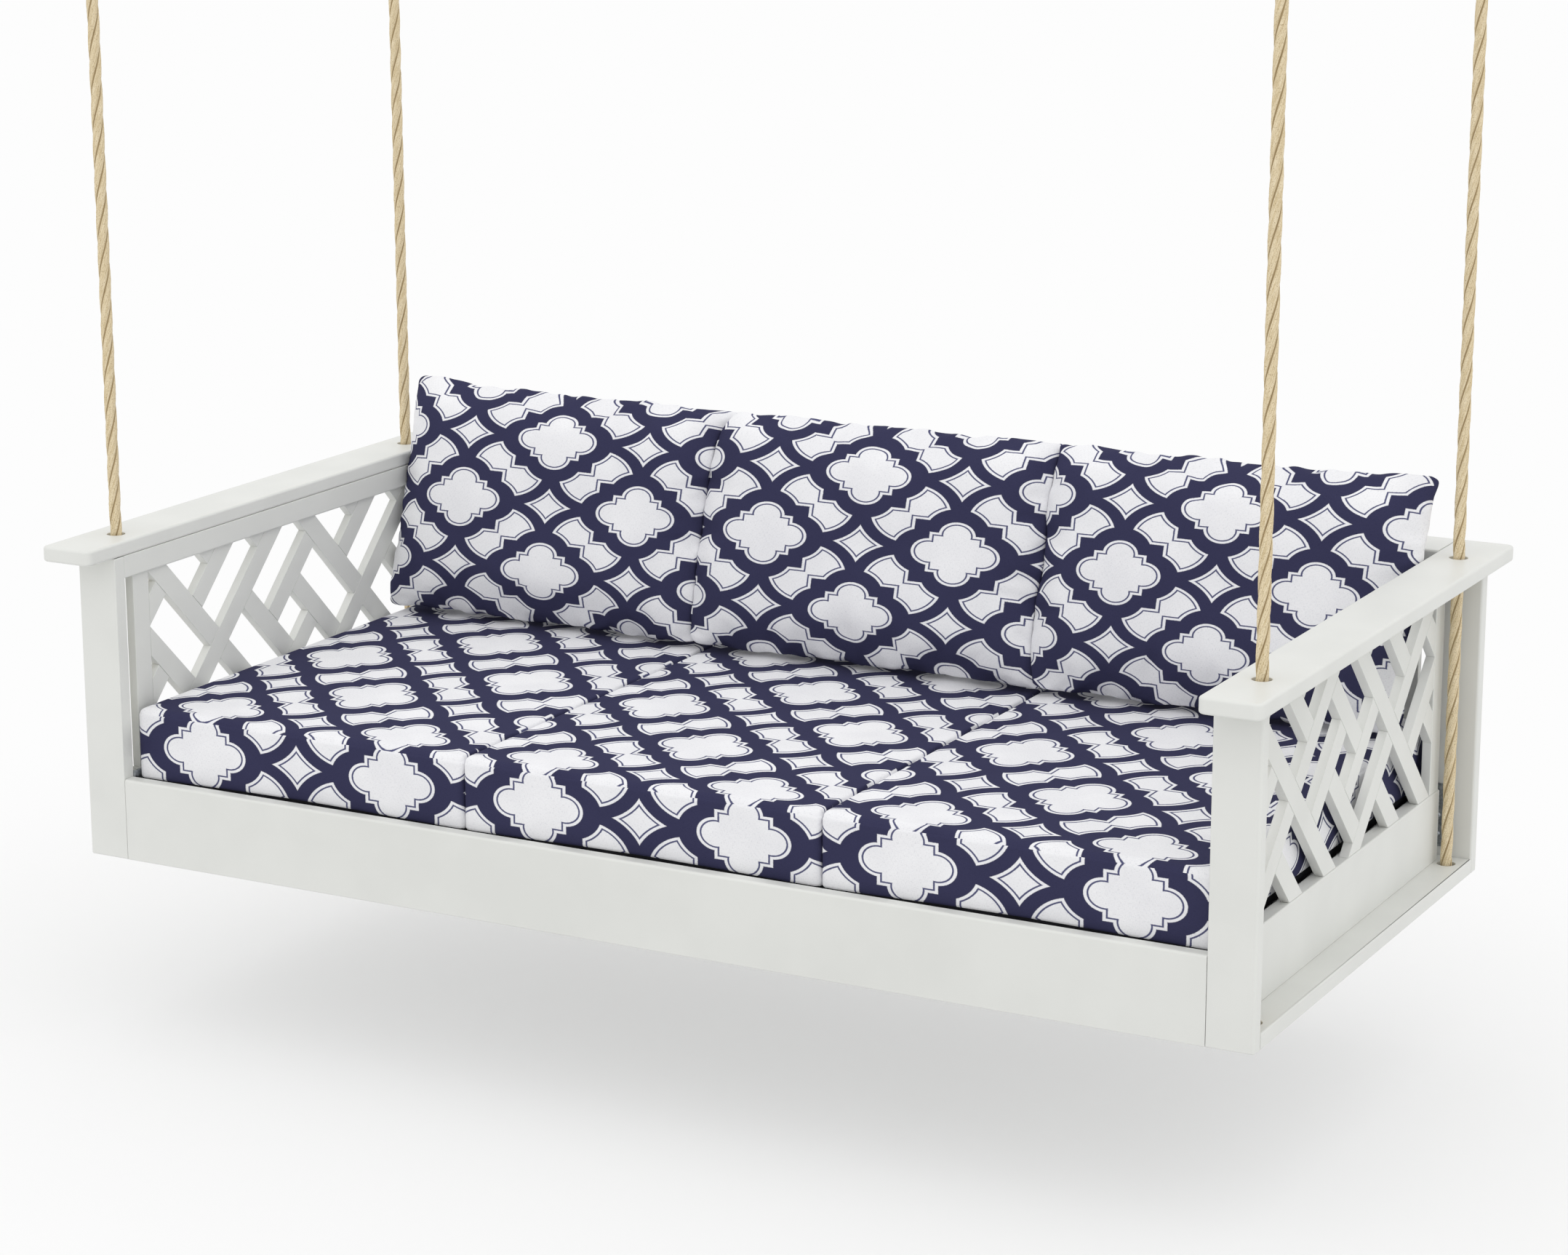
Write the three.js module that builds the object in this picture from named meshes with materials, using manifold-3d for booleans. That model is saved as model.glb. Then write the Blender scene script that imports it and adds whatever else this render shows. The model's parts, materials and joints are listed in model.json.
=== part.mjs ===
/**
 * A three-place porch swing seat hung on four ropes.
 *
 * Millimetres, +Z up, front towards -Y. The pieces are placed in the seat's own measures: x from
 * the middle, y back from the front face of the front posts, z up from the bottom of the posts.
 * The whole is then moved so that its origin lies on the ceiling, midway between the four hangers.
 */
import * as THREE from "three";
import { mergeVertices } from "three/addons/utils/BufferGeometryUtils.js";
import Module from "manifold-3d";

const wasm = await Module();
wasm.setup();

// ---------------------------------------------------------------- driving dimensions

// Frame of planed boards
const frameWidth = 2094; // over the outer faces of the posts
const frameDepth = 1000; // over the front and rear posts
const board = 25.4;
const boardEdge = 4.5; // rounding along a board's edges
const postWidth = 76.2;
const postHeight = 517;
const frontRailHeight = 139.7;
const endRailHeight = 120.6;
const endRailGap = 27; // between a post and the end of a bottom end rail
const topRailHeight = 38;
const buttGap = 0.4; // open joint where a long rail butts on a post

// Arm boards and back cap
const armOverhangSide = 22;
const armOverhangEnd = 68;
const armCorner = 13;

// Lattice panels
const stileWidth = 42;
const stileSetback = 3.6; // from the end of the rail to the stile
const slatWidth = 38;
const slatThickness = 16;
const latticeSetback = 1.5; // behind the outer face of the rails
const latticePitch = 145; // between slat centres, along a rail
const risingPhase = 28.1; // first rising slat, along the rail from the opening's corner
const fallingPhase = 210.4; // first falling slat, along the rail from the opening's corner
const slatRailGap = 0.2; // between a slat's end and a rail
const glueOverlap = 0.5; // how far glued slats run into each other and into the stiles

// Seat deck
const joistThickness = 25.4;
const joistDrop = 82.6;
const joistCount = 3;
const joistPitch = 485;
const deckThickness = 19;
const deckBoardCount = 5;
const deckBoardGap = 6;
const deckEndGap = 0.4;

// Steel angles that hold the end rails to the posts, and their screws
const angleThickness = 3;
const angleBottom = 41;
const angleTop = 149;
const anglePostLeg = 33.2;
const angleRailLeg = 67;
const screwShank = 4;
const screwLength = 18;
const screwHead = 9;
const screwHeadHeight = 2.6;
const screwClearance = 0.3;
const screwHeights = [63, 95];

// Ropes and what holds them
const ropeDiameter = 20;
const ropeHole = 30;
const ropeFromSide = 30; // rope centre in from the outer faces of the posts
const ropeFromEnd = 66; // rope centre back from the front, and in from the rear
const ropeJointGap = 0.3;
const recessDiameter = 44;
const recessDepth = 14.4;
const stopFlangeDiameter = 42;
const stopFlangeThickness = 3;
const stopBarrelDiameter = 30;
const stopLength = 13;
const stopClearance = 0.5;
const seatingGap = 0.1;

// Ceiling hangers
const ceilingHeight = 1700; // above the bottom of the posts
const plateLength = 110;
const plateWidth = 60;
const plateThickness = 5;
const plateHole = 7;
const plateHoleInset = 12;
const earThickness = 5;
const earWidth = 44;
const boltDiameter = 12;
const boltDrop = 41; // below the ceiling
const boltHeadDiameter = 20;
const boltHeadHeight = 7;
const thimbleBore = 24;
const thimbleWall = 3.7;
const thimbleFlange = 3;
const thimbleWidth = 22;
const thimbleSideGap = 1;
const runningGap = 0.3;
const boltHoleGap = 0.4;
const roundSides = 16; // flats around a round steel piece or hole

// Cushions
const cushionGap = 0.4;
const cushionSideGap = 4; // from the end rails
const seatCushionFront = 34;
const seatCushionBackGap = 5;
const seatCushionHeight = 122.5; // to the seam
const seatCushionCrown = 12;
const seatCushionCorner = 24;
const backCushionHeight = 422;
const backCushionLean = THREE.MathUtils.degToRad(17);
const backCushionFrontBulge = 70;
const backCushionRearBulge = 82;
const backCushionEdge = 7;
const restingGap = 0.3;

// ---------------------------------------------------------------- derived places

const outerX = frameWidth / 2;
const postInnerX = outerX - postWidth;
const postBackY = board;
const rearPostFrontY = frameDepth - board;
const railOuterX = postInnerX + board;
const armTop = postHeight + board;
const endRailTop = board + endRailHeight;
const topRailBottom = postHeight - topRailHeight;
const railStartY = postBackY + endRailGap;
const stileStartY = railStartY + stileSetback;
const armWidth = postWidth + armOverhangSide;
const deckTop = board + joistDrop + deckThickness;
const ropeX = outerX - ropeFromSide;
const ropePivotZ = postHeight + board / 2;
const boltZ = ceilingHeight - boltDrop;
const thimbleRadius = thimbleBore / 2 + thimbleWall;
const ropeEyeRadius = thimbleRadius + runningGap + ropeDiameter / 2;
const thimbleFlat = thimbleBore / 2 * Math.cos(Math.PI / roundSides);
const ropeEyeZ = boltZ + boltDiameter / 2 + runningGap - thimbleFlat;
const angleX = postInnerX - angleThickness;
const screwX = postInnerX + anglePostLeg / 2;
const railScrewInset = angleRailLeg - screwHead - endRailGap / 4;

// ---------------------------------------------------------------- materials

const paint = new THREE.MeshStandardMaterial({ color: 0xdedfdb, roughness: 0.5 });
const cloth = new THREE.MeshStandardMaterial({ color: 0x4a4d68, roughness: 0.9 });
const hemp = new THREE.MeshStandardMaterial({ color: 0xb89a68, roughness: 0.95 });
const steel = new THREE.MeshStandardMaterial({ color: 0x9aa0a6, roughness: 0.35, metalness: 0.9 });

// ---------------------------------------------------------------- geometry helpers

const AXES = {
  x: [new THREE.Vector3(0, 1, 0), new THREE.Vector3(0, 0, 1), new THREE.Vector3(1, 0, 0)],
  y: [new THREE.Vector3(0, 0, 1), new THREE.Vector3(1, 0, 0), new THREE.Vector3(0, 1, 0)],
  z: [new THREE.Vector3(1, 0, 0), new THREE.Vector3(0, 1, 0), new THREE.Vector3(0, 0, 1)],
};

/** Turns a geometry made along its local z so that it runs along the named axis. */
function turnedAlong(geometry, along) {
  return geometry.applyMatrix4(new THREE.Matrix4().makeBasis(...AXES[along]));
}

/** A rectangle with round corners, from two opposite corners. */
function roundedRectangle(x0, y0, x1, y1, radius) {
  const shape = new THREE.Shape();
  shape.moveTo(x0 + radius, y0);
  shape.lineTo(x1 - radius, y0);
  shape.absarc(x1 - radius, y0 + radius, radius, -Math.PI / 2, 0);
  shape.lineTo(x1, y1 - radius);
  shape.absarc(x1 - radius, y1 - radius, radius, 0, Math.PI / 2);
  shape.lineTo(x0 + radius, y1);
  shape.absarc(x0 + radius, y1 - radius, radius, Math.PI / 2, Math.PI);
  shape.lineTo(x0, y0 + radius);
  shape.absarc(x0 + radius, y0 + radius, radius, Math.PI, 1.5 * Math.PI);
  return shape;
}

/** A board with rounded long edges that fills a box and runs along one axis. */
function boardGeometry([x0, x1], [y0, y1], [z0, z1], along) {
  const size = { x: x1 - x0, y: y1 - y0, z: z1 - z0 };
  const [across, up] = { x: ["y", "z"], y: ["z", "x"], z: ["x", "y"] }[along];
  const w = size[across] / 2;
  const h = size[up] / 2;
  const section = roundedRectangle(-w, -h, w, h, Math.min(boardEdge, w / 2, h / 2));
  const geometry = new THREE.ExtrudeGeometry(section, {
    depth: size[along],
    bevelEnabled: false,
    curveSegments: 1,
  });
  geometry.translate(0, 0, -size[along] / 2);
  turnedAlong(geometry, along);
  return geometry.translate((x0 + x1) / 2, (y0 + y1) / 2, (z0 + z1) / 2);
}

/** A flat board cut to a plan outline, with all its edges rounded, standing on z0. */
function planBoard(outline, z0, thickness) {
  const geometry = new THREE.ExtrudeGeometry(outline, {
    depth: thickness - 2 * boardEdge,
    bevelThickness: boardEdge,
    bevelSize: boardEdge,
    bevelOffset: -boardEdge,
    bevelSegments: 1,
    curveSegments: 2,
  });
  return geometry.translate(0, 0, z0 + boardEdge);
}

/** A round bar along an axis, centred on a point. */
function bar(radius, length, along, centre, sides = roundSides) {
  const geometry = new THREE.CylinderGeometry(radius, radius, length, sides);
  geometry.rotateX(Math.PI / 2);
  return turnedAlong(geometry, along).translate(...centre);
}

/** A geometry as a manifold solid, ready for cuts and joins. */
function solid(geometry) {
  const bare = geometry.index ? geometry.toNonIndexed() : geometry.clone();
  bare.deleteAttribute("normal");
  bare.deleteAttribute("uv");
  const merged = mergeVertices(bare, 1e-3);
  return new wasm.Manifold(new wasm.Mesh({
    numProp: 3,
    vertProperties: Float32Array.from(merged.attributes.position.array),
    triVerts: Uint32Array.from(merged.index.array),
  }));
}

/** A manifold solid as a three.js geometry. */
function geometryOf(body) {
  const { vertProperties, triVerts } = body.getMesh();
  const geometry = new THREE.BufferGeometry();
  geometry.setAttribute("position", new THREE.BufferAttribute(Float32Array.from(vertProperties), 3));
  geometry.setIndex(new THREE.BufferAttribute(Uint32Array.from(triVerts), 1));
  geometry.computeVertexNormals();
  return geometry;
}

/** A geometry with others cut out of it. */
function cut(geometry, cutters) {
  return geometryOf(cutters.reduce((body, cutter) => body.subtract(solid(cutter)), solid(geometry)));
}

/** Geometries joined into one solid. */
function joined(geometries) {
  return geometryOf(geometries.map(solid).reduce((a, b) => a.add(b)));
}

function piece(name, geometry, material) {
  const mesh = new THREE.Mesh(geometry, material);
  mesh.name = name;
  return mesh;
}

// ---------------------------------------------------------------- lattice

const modulo = (n, m) => ((n % m) + m) % m;

/**
 * The lattice's weave repeats every three slats each way. For a rising slat of class i and a
 * falling one of class j: which runs through their crossing, and which stretches are left out.
 */
const risingRunsThrough = (i, j) => i === 0 || (i === 1 && j === 0) || (i === 2 && j === 2);
const risingLeftOut = (i, j) => (i === 1 && j === 1) || (i === 2 && j === 0);
const fallingLeftOut = (i, j) => (j === 0 && i === 0) || (j === 2 && i === 2);

/** Clips a convex polygon to the half-plane where inside(point) is not negative. */
function clipped(polygon, inside) {
  return polygon.flatMap((p, k) => {
    const q = polygon[(k + 1) % polygon.length];
    const a = inside(p);
    const b = inside(q);
    const kept = a >= 0 ? [p] : [];
    if (a * b < 0) kept.push(p.clone().lerp(q, a / (a - b)));
    return kept;
  });
}

/** Drops corners of a polygon that lie closer together than a length. */
function withoutShortEdges(polygon, length) {
  return polygon.filter((p, k) => p.distanceTo(polygon[(k + 1) % polygon.length]) > length);
}

/** The slats' outlines that fill the opening from (0, 0) to (width, height). */
function slatOutlines(width, height) {
  const outlines = [];
  const reach = 1 + Math.ceil((width + height) / latticePitch);
  const numbers = Array.from({ length: 2 * reach + 1 }, (_, k) => k - reach);
  const crossing = (i, j) => {
    const difference = risingPhase + latticePitch * i;
    const sum = fallingPhase + latticePitch * j;
    return new THREE.Vector2((sum + difference) / 2, (sum - difference) / 2);
  };
  const addSlat = (from, to) => {
    const along = to.clone().sub(from).normalize();
    const side = new THREE.Vector2(-along.y, along.x).multiplyScalar(slatWidth / 2);
    let outline = [
      from.clone().sub(side), to.clone().sub(side), to.clone().add(side), from.clone().add(side),
    ];
    outline = clipped(outline, (p) => p.x + glueOverlap);
    outline = clipped(outline, (p) => width + glueOverlap - p.x);
    outline = clipped(outline, (p) => p.y - slatRailGap);
    outline = clipped(outline, (p) => height - slatRailGap - p.y);
    outline = withoutShortEdges(outline, slatThickness / 5);
    const area = outline.length > 2 ? Math.abs(THREE.ShapeUtils.area(outline)) : 0;
    if (area > slatWidth * slatWidth / 4) outlines.push(outline);
  };
  /** Cuts one slat's line into lengths: from each butt to the next. */
  const addLine = (point, runsThrough, leftOut) => {
    let start = point(numbers[0]);
    for (const n of numbers.slice(1)) {
      const here = point(n);
      const step = here.clone().sub(point(n - 1)).normalize()
        .multiplyScalar(slatWidth / 2 - glueOverlap);
      if (start && !runsThrough(n)) {
        addSlat(start, here.clone().sub(step));
        start = null;
      }
      if (!start && !leftOut(n)) start = here.clone().add(step);
    }
    if (start) addSlat(start, point(numbers.at(-1)));
  };
  for (const n of numbers) {
    const c = modulo(n, 3);
    addLine((j) => crossing(n, j), (j) => risingRunsThrough(c, modulo(j, 3)),
      (j) => risingLeftOut(c, modulo(j, 3)));
    addLine((i) => crossing(i, n), (i) => !risingRunsThrough(modulo(i, 3), c),
      (i) => fallingLeftOut(modulo(i, 3), c));
  }
  return outlines;
}

/** The slats that fill an opening, lying in their local x and y, with their backs at z = 0. */
function latticeSlats(width, height) {
  return slatOutlines(width, height).map((outline) => (
    new THREE.ExtrudeGeometry(new THREE.Shape(outline), { depth: slatThickness, bevelEnabled: false })
  ));
}

// ---------------------------------------------------------------- end panels

/** A pan-head screw that points along +y, its head's underside at the origin. */
function screw() {
  const head = screwHead / 2;
  const profile = [
    [0, -screwHeadHeight], [0.6 * head, -screwHeadHeight], [head, 0],
    [screwShank / 2, 0], [screwShank / 2, screwLength - screwShank / 2], [0, screwLength],
  ];
  return new THREE.LatheGeometry(profile.map(([r, y]) => new THREE.Vector2(r, y)), 8);
}

/** Where the screws of one steel angle go, in the left end's front corner. */
function screwPlaces() {
  return screwHeights.flatMap((z) => [
    { at: [-screwX, postBackY + angleThickness, z], turn: Math.PI },
    { at: [-angleX, postBackY + railScrewInset, z], turn: Math.PI / 2 },
  ]);
}

/** The angle's screws, or the holes for them when a clearance is given. */
function screwsOrHoles(clearance) {
  return screwPlaces().map(({ at, turn }) => {
    const shape = clearance
      ? new THREE.CylinderGeometry(screwShank / 2 + clearance, screwShank / 2 + clearance,
        2 * (screwLength + clearance), 8)
      : screw();
    return shape.rotateZ(turn).translate(...at);
  });
}

/** The other end of a mirrored pair: a geometry turned about the panel's middle. */
function atRear(geometry) {
  const mirrored = geometry.clone().applyMatrix4(new THREE.Matrix4().makeScale(1, -1, 1));
  const flipped = mirrored.index ? mirrored.toNonIndexed() : mirrored;
  const position = flipped.attributes.position;
  for (let k = 0; k < position.count; k += 3) {
    const [x, y, z] = [position.getX(k), position.getY(k), position.getZ(k)];
    position.setXYZ(k, position.getX(k + 2), position.getY(k + 2), position.getZ(k + 2));
    position.setXYZ(k + 2, x, y, z);
  }
  flipped.computeVertexNormals();
  return flipped.translate(0, frameDepth, 0);
}

/** An end panel: posts, arm, ledge, rails, stiles and lattice, built as the left one. */
function endPanel(side, front, rear) {
  const group = new THREE.Group();
  const postX = [-outerX, -postInnerX];
  const railX = [-railOuterX, -postInnerX];
  const ropeYs = [ropeFromEnd, frameDepth - ropeFromEnd];
  const holes = screwsOrHoles(screwClearance);

  const post = cut(boardGeometry(postX, [0, board], [0, postHeight], "z"), holes);
  const armOutline = roundedRectangle(-outerX - armOverhangSide, -armOverhangEnd, -postInnerX,
    frameDepth + armOverhangEnd, armCorner);
  const arm = cut(planBoard(armOutline, postHeight, board),
    ropeYs.map((y) => bar(ropeHole / 2, 2 * board, "z", [-ropeX, y, ropePivotZ])));
  const ledge = cut(boardGeometry(postX, [postBackY, rearPostFrontY], [0, board], "y"),
    ropeYs.flatMap((y) => [
      bar(ropeHole / 2, 3 * board, "z", [-ropeX, y, board / 2]),
      bar(recessDiameter / 2, 2 * recessDepth, "z", [-ropeX, y, 0]),
    ]));
  const rail = cut(
    boardGeometry(railX, [railStartY, frameDepth - railStartY], [board, endRailTop], "y"),
    [...holes, ...holes.map(atRear)],
  );
  const topRail = boardGeometry(railX, [postBackY, rearPostFrontY], [topRailBottom, postHeight], "y");

  const latticeX = [-railOuterX + latticeSetback, -railOuterX + latticeSetback + slatThickness];
  const stile = boardGeometry(latticeX, [stileStartY, stileStartY + stileWidth],
    [endRailTop, topRailBottom], "z");
  const openingY = stileStartY + stileWidth;
  const slats = latticeSlats(frameDepth - 2 * openingY, topRailBottom - endRailTop)
    .map((slat) => turnedAlong(slat, "x").translate(latticeX[0], openingY, endRailTop));

  group.add(
    piece(`post_${front}_${side}`, post, paint),
    piece(`post_${rear}_${side}`, atRear(post), paint),
    piece(`arm_${side}`, arm, paint),
    piece(`ledge_${side}`, ledge, paint),
    piece(`end_rail_${side}`, rail, paint),
    piece(`end_top_rail_${side}`, topRail, paint),
    piece(`end_lattice_${side}`, joined([stile, atRear(stile), ...slats]), paint),
    piece(`corner_angle_${front}_${side}`, cornerAngle(), steel),
    piece(`corner_angle_${rear}_${side}`, atRear(cornerAngle()), steel),
  );
  return group;
}

/** The steel angle in the left end's front corner, with its screws driven home. */
function cornerAngle() {
  const outline = new THREE.Shape([
    [-angleX, postBackY], [-angleX, postBackY + angleRailLeg], [-postInnerX, postBackY + angleRailLeg],
    [-postInnerX, postBackY + angleThickness], [-postInnerX - anglePostLeg, postBackY + angleThickness],
    [-postInnerX - anglePostLeg, postBackY],
  ].map(([x, y]) => new THREE.Vector2(x, y)));
  const height = angleTop - angleBottom;
  const angle = new THREE.ExtrudeGeometry(outline, { depth: height, bevelEnabled: false });
  return joined([angle.translate(0, 0, angleBottom), ...screwsOrHoles(0)]);
}

// ---------------------------------------------------------------- front, back and deck

/** The front rail, between the front posts. */
function frontRail() {
  const half = postInnerX - buttGap;
  return piece("front_rail",
    boardGeometry([-half, half], [0, board], [0, frontRailHeight], "x"), paint);
}

/** The back between the rear posts: rail, cap board, and the panel glued to its top rail. */
function backPanel() {
  const group = new THREE.Group();
  const half = postInnerX - buttGap;
  const y = [rearPostFrontY, frameDepth];
  const capY = [frameDepth + armOverhangEnd - armWidth, frameDepth + armOverhangEnd];
  const latticeY = frameDepth - latticeSetback;
  const stileY = [latticeY - slatThickness, latticeY];
  const endStileX = postInnerX - endRailGap - stileSetback - stileWidth;
  const stileXs = [-endStileX - stileWidth, -stileWidth / 2, endStileX];
  const stiles = stileXs.map((x) => boardGeometry([x, x + stileWidth], stileY,
    [frontRailHeight, topRailBottom], "z"));
  const openingWidth = endStileX - stileWidth / 2;
  const slats = stileXs.slice(0, 2).flatMap((x) => (
    latticeSlats(openingWidth, topRailBottom - frontRailHeight).map((slat) => (
      slat.rotateX(Math.PI / 2).translate(x + stileWidth, latticeY, frontRailHeight)))));
  const topRail = boardGeometry([-half, half], y, [topRailBottom - glueOverlap, postHeight], "x");
  group.add(
    piece("back_rail", boardGeometry([-half, half], y, [0, frontRailHeight], "x"), paint),
    piece("back_cap", boardGeometry([-half, half], capY, [postHeight, armTop], "x"), paint),
    piece("back_panel", joined([topRail, ...stiles, ...slats]), paint),
  );
  return group;
}

/** Joists from the front rail to the back rail, and the boards laid across them. */
function seatDeck() {
  const group = new THREE.Group();
  for (let k = 0; k < joistCount; k += 1) {
    const x = joistPitch * (k - (joistCount - 1) / 2);
    group.add(piece(`joist_${k + 1}`, boardGeometry([x - joistThickness / 2, x + joistThickness / 2],
      [postBackY, rearPostFrontY], [board, board + joistDrop], "y"), paint));
  }
  const half = postInnerX - deckEndGap - angleThickness;
  const pitch = (rearPostFrontY - postBackY) / deckBoardCount;
  for (let k = 0; k < deckBoardCount; k += 1) {
    const y = [postBackY + k * pitch + deckBoardGap / 2, postBackY + (k + 1) * pitch - deckBoardGap / 2];
    group.add(piece(`deck_board_${k + 1}`,
      boardGeometry([-half, half], y, [board + joistDrop, deckTop], "x"), paint));
  }
  return group;
}

// ---------------------------------------------------------------- cushions

/** Reshapes a box's vertices: shape maps (u, v, w), each from -1 to 1, to a point. */
function reshaped(box, shape) {
  const { width, height, depth } = box.parameters;
  const position = box.attributes.position;
  for (let k = 0; k < position.count; k += 1) {
    const point = shape(
      2 * position.getX(k) / width, 2 * position.getY(k) / height, 2 * position.getZ(k) / depth,
    );
    position.setXYZ(k, point.x, point.y, point.z);
  }
  box.computeVertexNormals();
  return box;
}

const cushionSpan = 2 * (postInnerX - cushionSideGap);
const cushionPitch = cushionSpan / 3;
const cushionWidth = cushionPitch - cushionGap;
const seatCushionBottom = deckTop + restingGap;
const seatCushionSeam = seatCushionBottom + seatCushionHeight;

/** A box cushion with round upright corners and a crowned top. */
function seatCushion(x) {
  const [halfWidth, y0] = [cushionWidth / 2, seatCushionFront];
  const halfDepth = (rearPostFrontY - seatCushionBackGap - y0) / 2;
  const corner = seatCushionCorner;
  return reshaped(new THREE.BoxGeometry(1, 1, 1, 8, 8, 2), (u, v, w) => {
    const crown = seatCushionCrown * (1 - u ** 4) * (1 - v ** 4);
    const z = w > 0 ? seatCushionSeam + crown : seatCushionBottom;
    const middle = (seatCushionSeam + seatCushionBottom) / 2;
    const place = new THREE.Vector3(u * halfWidth, v * halfDepth, Math.abs(w) < 0.5 ? middle : z);
    const tuckX = Math.max(0, Math.abs(place.x) - halfWidth + corner);
    const tuckY = Math.max(0, Math.abs(place.y) - halfDepth + corner);
    const overshoot = Math.hypot(tuckX, tuckY) / corner;
    if (overshoot > 1) {
      place.x -= Math.sign(place.x) * tuckX * (1 - 1 / overshoot);
      place.y -= Math.sign(place.y) * tuckY * (1 - 1 / overshoot);
    }
    return place.add(new THREE.Vector3(x, y0 + halfDepth, 0));
  });
}

/** How full a pillow is, from 0 at its seams to 1 in its middle. */
const fullness = (u, v) => ((1 - u ** 4) * (1 - v ** 4)) ** 0.6;

/** The foot of the back cushions' seam plane, where their backs just meet the cap board. */
function backCushionFoot() {
  const edge = { y: frameDepth + armOverhangEnd - armWidth, z: armTop - boardEdge };
  const z = seatCushionSeam + seatCushionCrown + restingGap + backCushionEdge;
  const [sin, cos] = [Math.sin(backCushionLean), Math.cos(backCushionLean)];
  let y = edge.y - backCushionRearBulge;
  for (let pass = 0; pass < 8; pass += 1) {
    const height = ((edge.y - y) * sin + (edge.z - z) * cos) / backCushionHeight;
    const full = fullness(0, THREE.MathUtils.clamp(2 * height - 1, -1, 1));
    const bulge = backCushionEdge + (backCushionRearBulge - backCushionEdge) * full;
    y = edge.y - (bulge + restingGap + (edge.z - z) * sin) / cos;
  }
  return { y, z };
}

/** A pillow with knife edges that leans on the cap board. */
function backCushion(x) {
  const foot = backCushionFoot();
  const pillow = reshaped(new THREE.BoxGeometry(1, 1, 1, 10, 8, 1), (u, v, w) => {
    const bulge = w > 0 ? backCushionFrontBulge : backCushionRearBulge;
    const half = backCushionEdge + (bulge - backCushionEdge) * fullness(u, v);
    return new THREE.Vector3(u * cushionWidth / 2, (v + 1) * backCushionHeight / 2, w * half);
  });
  pillow.rotateX(Math.PI / 2 - backCushionLean);
  return pillow.translate(x, foot.y, foot.z);
}

/** Three seat cushions and three back cushions. */
function cushions() {
  const group = new THREE.Group();
  ["left", "middle", "right"].forEach((name, k) => {
    const x = (k - 1) * cushionPitch;
    group.add(piece(`seat_cushion_${name}`, seatCushion(x), cloth));
    group.add(piece(`back_cushion_${name}`, backCushion(x), cloth));
  });
  return group;
}

// ---------------------------------------------------------------- ropes and hangers

/** The upper length of a rope, from its round foot in the arm to the eye at its top. */
function upperRope() {
  const radius = ropeDiameter / 2;
  const foot = Array.from({ length: 4 }, (_, k) => {
    const angle = (k / 3 - 1) * Math.PI / 2;
    return new THREE.Vector2(Math.max(0, radius * Math.cos(angle)), radius * Math.sin(angle));
  });
  foot[0].x = 0;
  const top = ropeEyeZ - ropeEyeRadius - ropePivotZ;
  const length = new THREE.LatheGeometry(
    [...foot, new THREE.Vector2(radius, top), new THREE.Vector2(0, top)], 12,
  ).rotateX(Math.PI / 2).translate(0, 0, ropePivotZ);
  const eye = new THREE.TorusGeometry(ropeEyeRadius, radius, 8, roundSides).rotateY(Math.PI / 2)
    .translate(0, 0, ropeEyeZ);
  return joined([length, eye]);
}

/** The lower length of a rope, from under its pivot in the arm to its end in the ledge. */
function lowerRope() {
  const top = ropePivotZ - ropeDiameter / 2 - ropeJointGap;
  const bottom = recessDepth - seatingGap - stopLength;
  return bar(ropeDiameter / 2, top - bottom, "z", [0, 0, (top + bottom) / 2], 12);
}

/** The flanged steel stop crimped on a rope's lower end, let into the ledge from below. */
function ropeStop() {
  const inner = ropeDiameter / 2 + stopClearance;
  const top = recessDepth - seatingGap;
  const profile = [
    [inner, top - stopLength], [stopBarrelDiameter / 2, top - stopLength],
    [stopBarrelDiameter / 2, top - stopFlangeThickness],
    [stopFlangeDiameter / 2, top - stopFlangeThickness], [stopFlangeDiameter / 2, top],
    [inner, top], [inner, top - stopLength],
  ].map(([r, z]) => new THREE.Vector2(r, z));
  return new THREE.LatheGeometry(profile, roundSides).rotateX(Math.PI / 2);
}

/** The steel thimble in a rope's eye, turned about x. */
function thimble() {
  const [bore, outer] = [thimbleBore / 2, thimbleRadius + thimbleFlange];
  const half = thimbleWidth / 2;
  const profile = [
    [bore, -half], [outer, -half], [thimbleRadius, -half / 2], [thimbleRadius, half / 2],
    [outer, half], [bore, half], [bore, -half],
  ].map(([r, x]) => new THREE.Vector2(r, x));
  return new THREE.LatheGeometry(profile, roundSides).rotateZ(Math.PI / 2).translate(0, 0, ropeEyeZ);
}

/** A ceiling hanger: a screwed plate with two ears, and holes for the bolt and four screws. */
function hanger() {
  const earGap = thimbleWidth + 2 * thimbleSideGap;
  const earX = earGap / 2 + earThickness / 2;
  const plate = new THREE.BoxGeometry(plateLength, plateWidth, plateThickness)
    .translate(0, 0, ceilingHeight - plateThickness / 2);
  const earShape = new THREE.Shape();
  const half = earWidth / 2;
  const earTop = boltDrop - plateThickness / 2;
  earShape.moveTo(-half, earTop);
  earShape.lineTo(-half, 0);
  earShape.absarc(0, 0, half, Math.PI, 2 * Math.PI);
  earShape.lineTo(half, earTop);
  const ears = [-earX, earX].map((x) => turnedAlong(new THREE.ExtrudeGeometry(earShape, {
    depth: earThickness,
    bevelEnabled: false,
    curveSegments: 4,
  }), "x").translate(x - earThickness / 2, 0, boltZ));
  const screwHoles = [-1, 1].flatMap((i) => [-1, 1].map((j) => bar(plateHole / 2,
    3 * plateThickness, "z", [i * (plateLength / 2 - plateHoleInset),
      j * (plateWidth / 2 - plateHoleInset), ceilingHeight], 8)));
  const boltHole = bar(boltDiameter / 2 + boltHoleGap, 2 * (earGap + earThickness), "x", [0, 0, boltZ]);
  return cut(joined([plate, ...ears]), [boltHole, ...screwHoles]);
}

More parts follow.
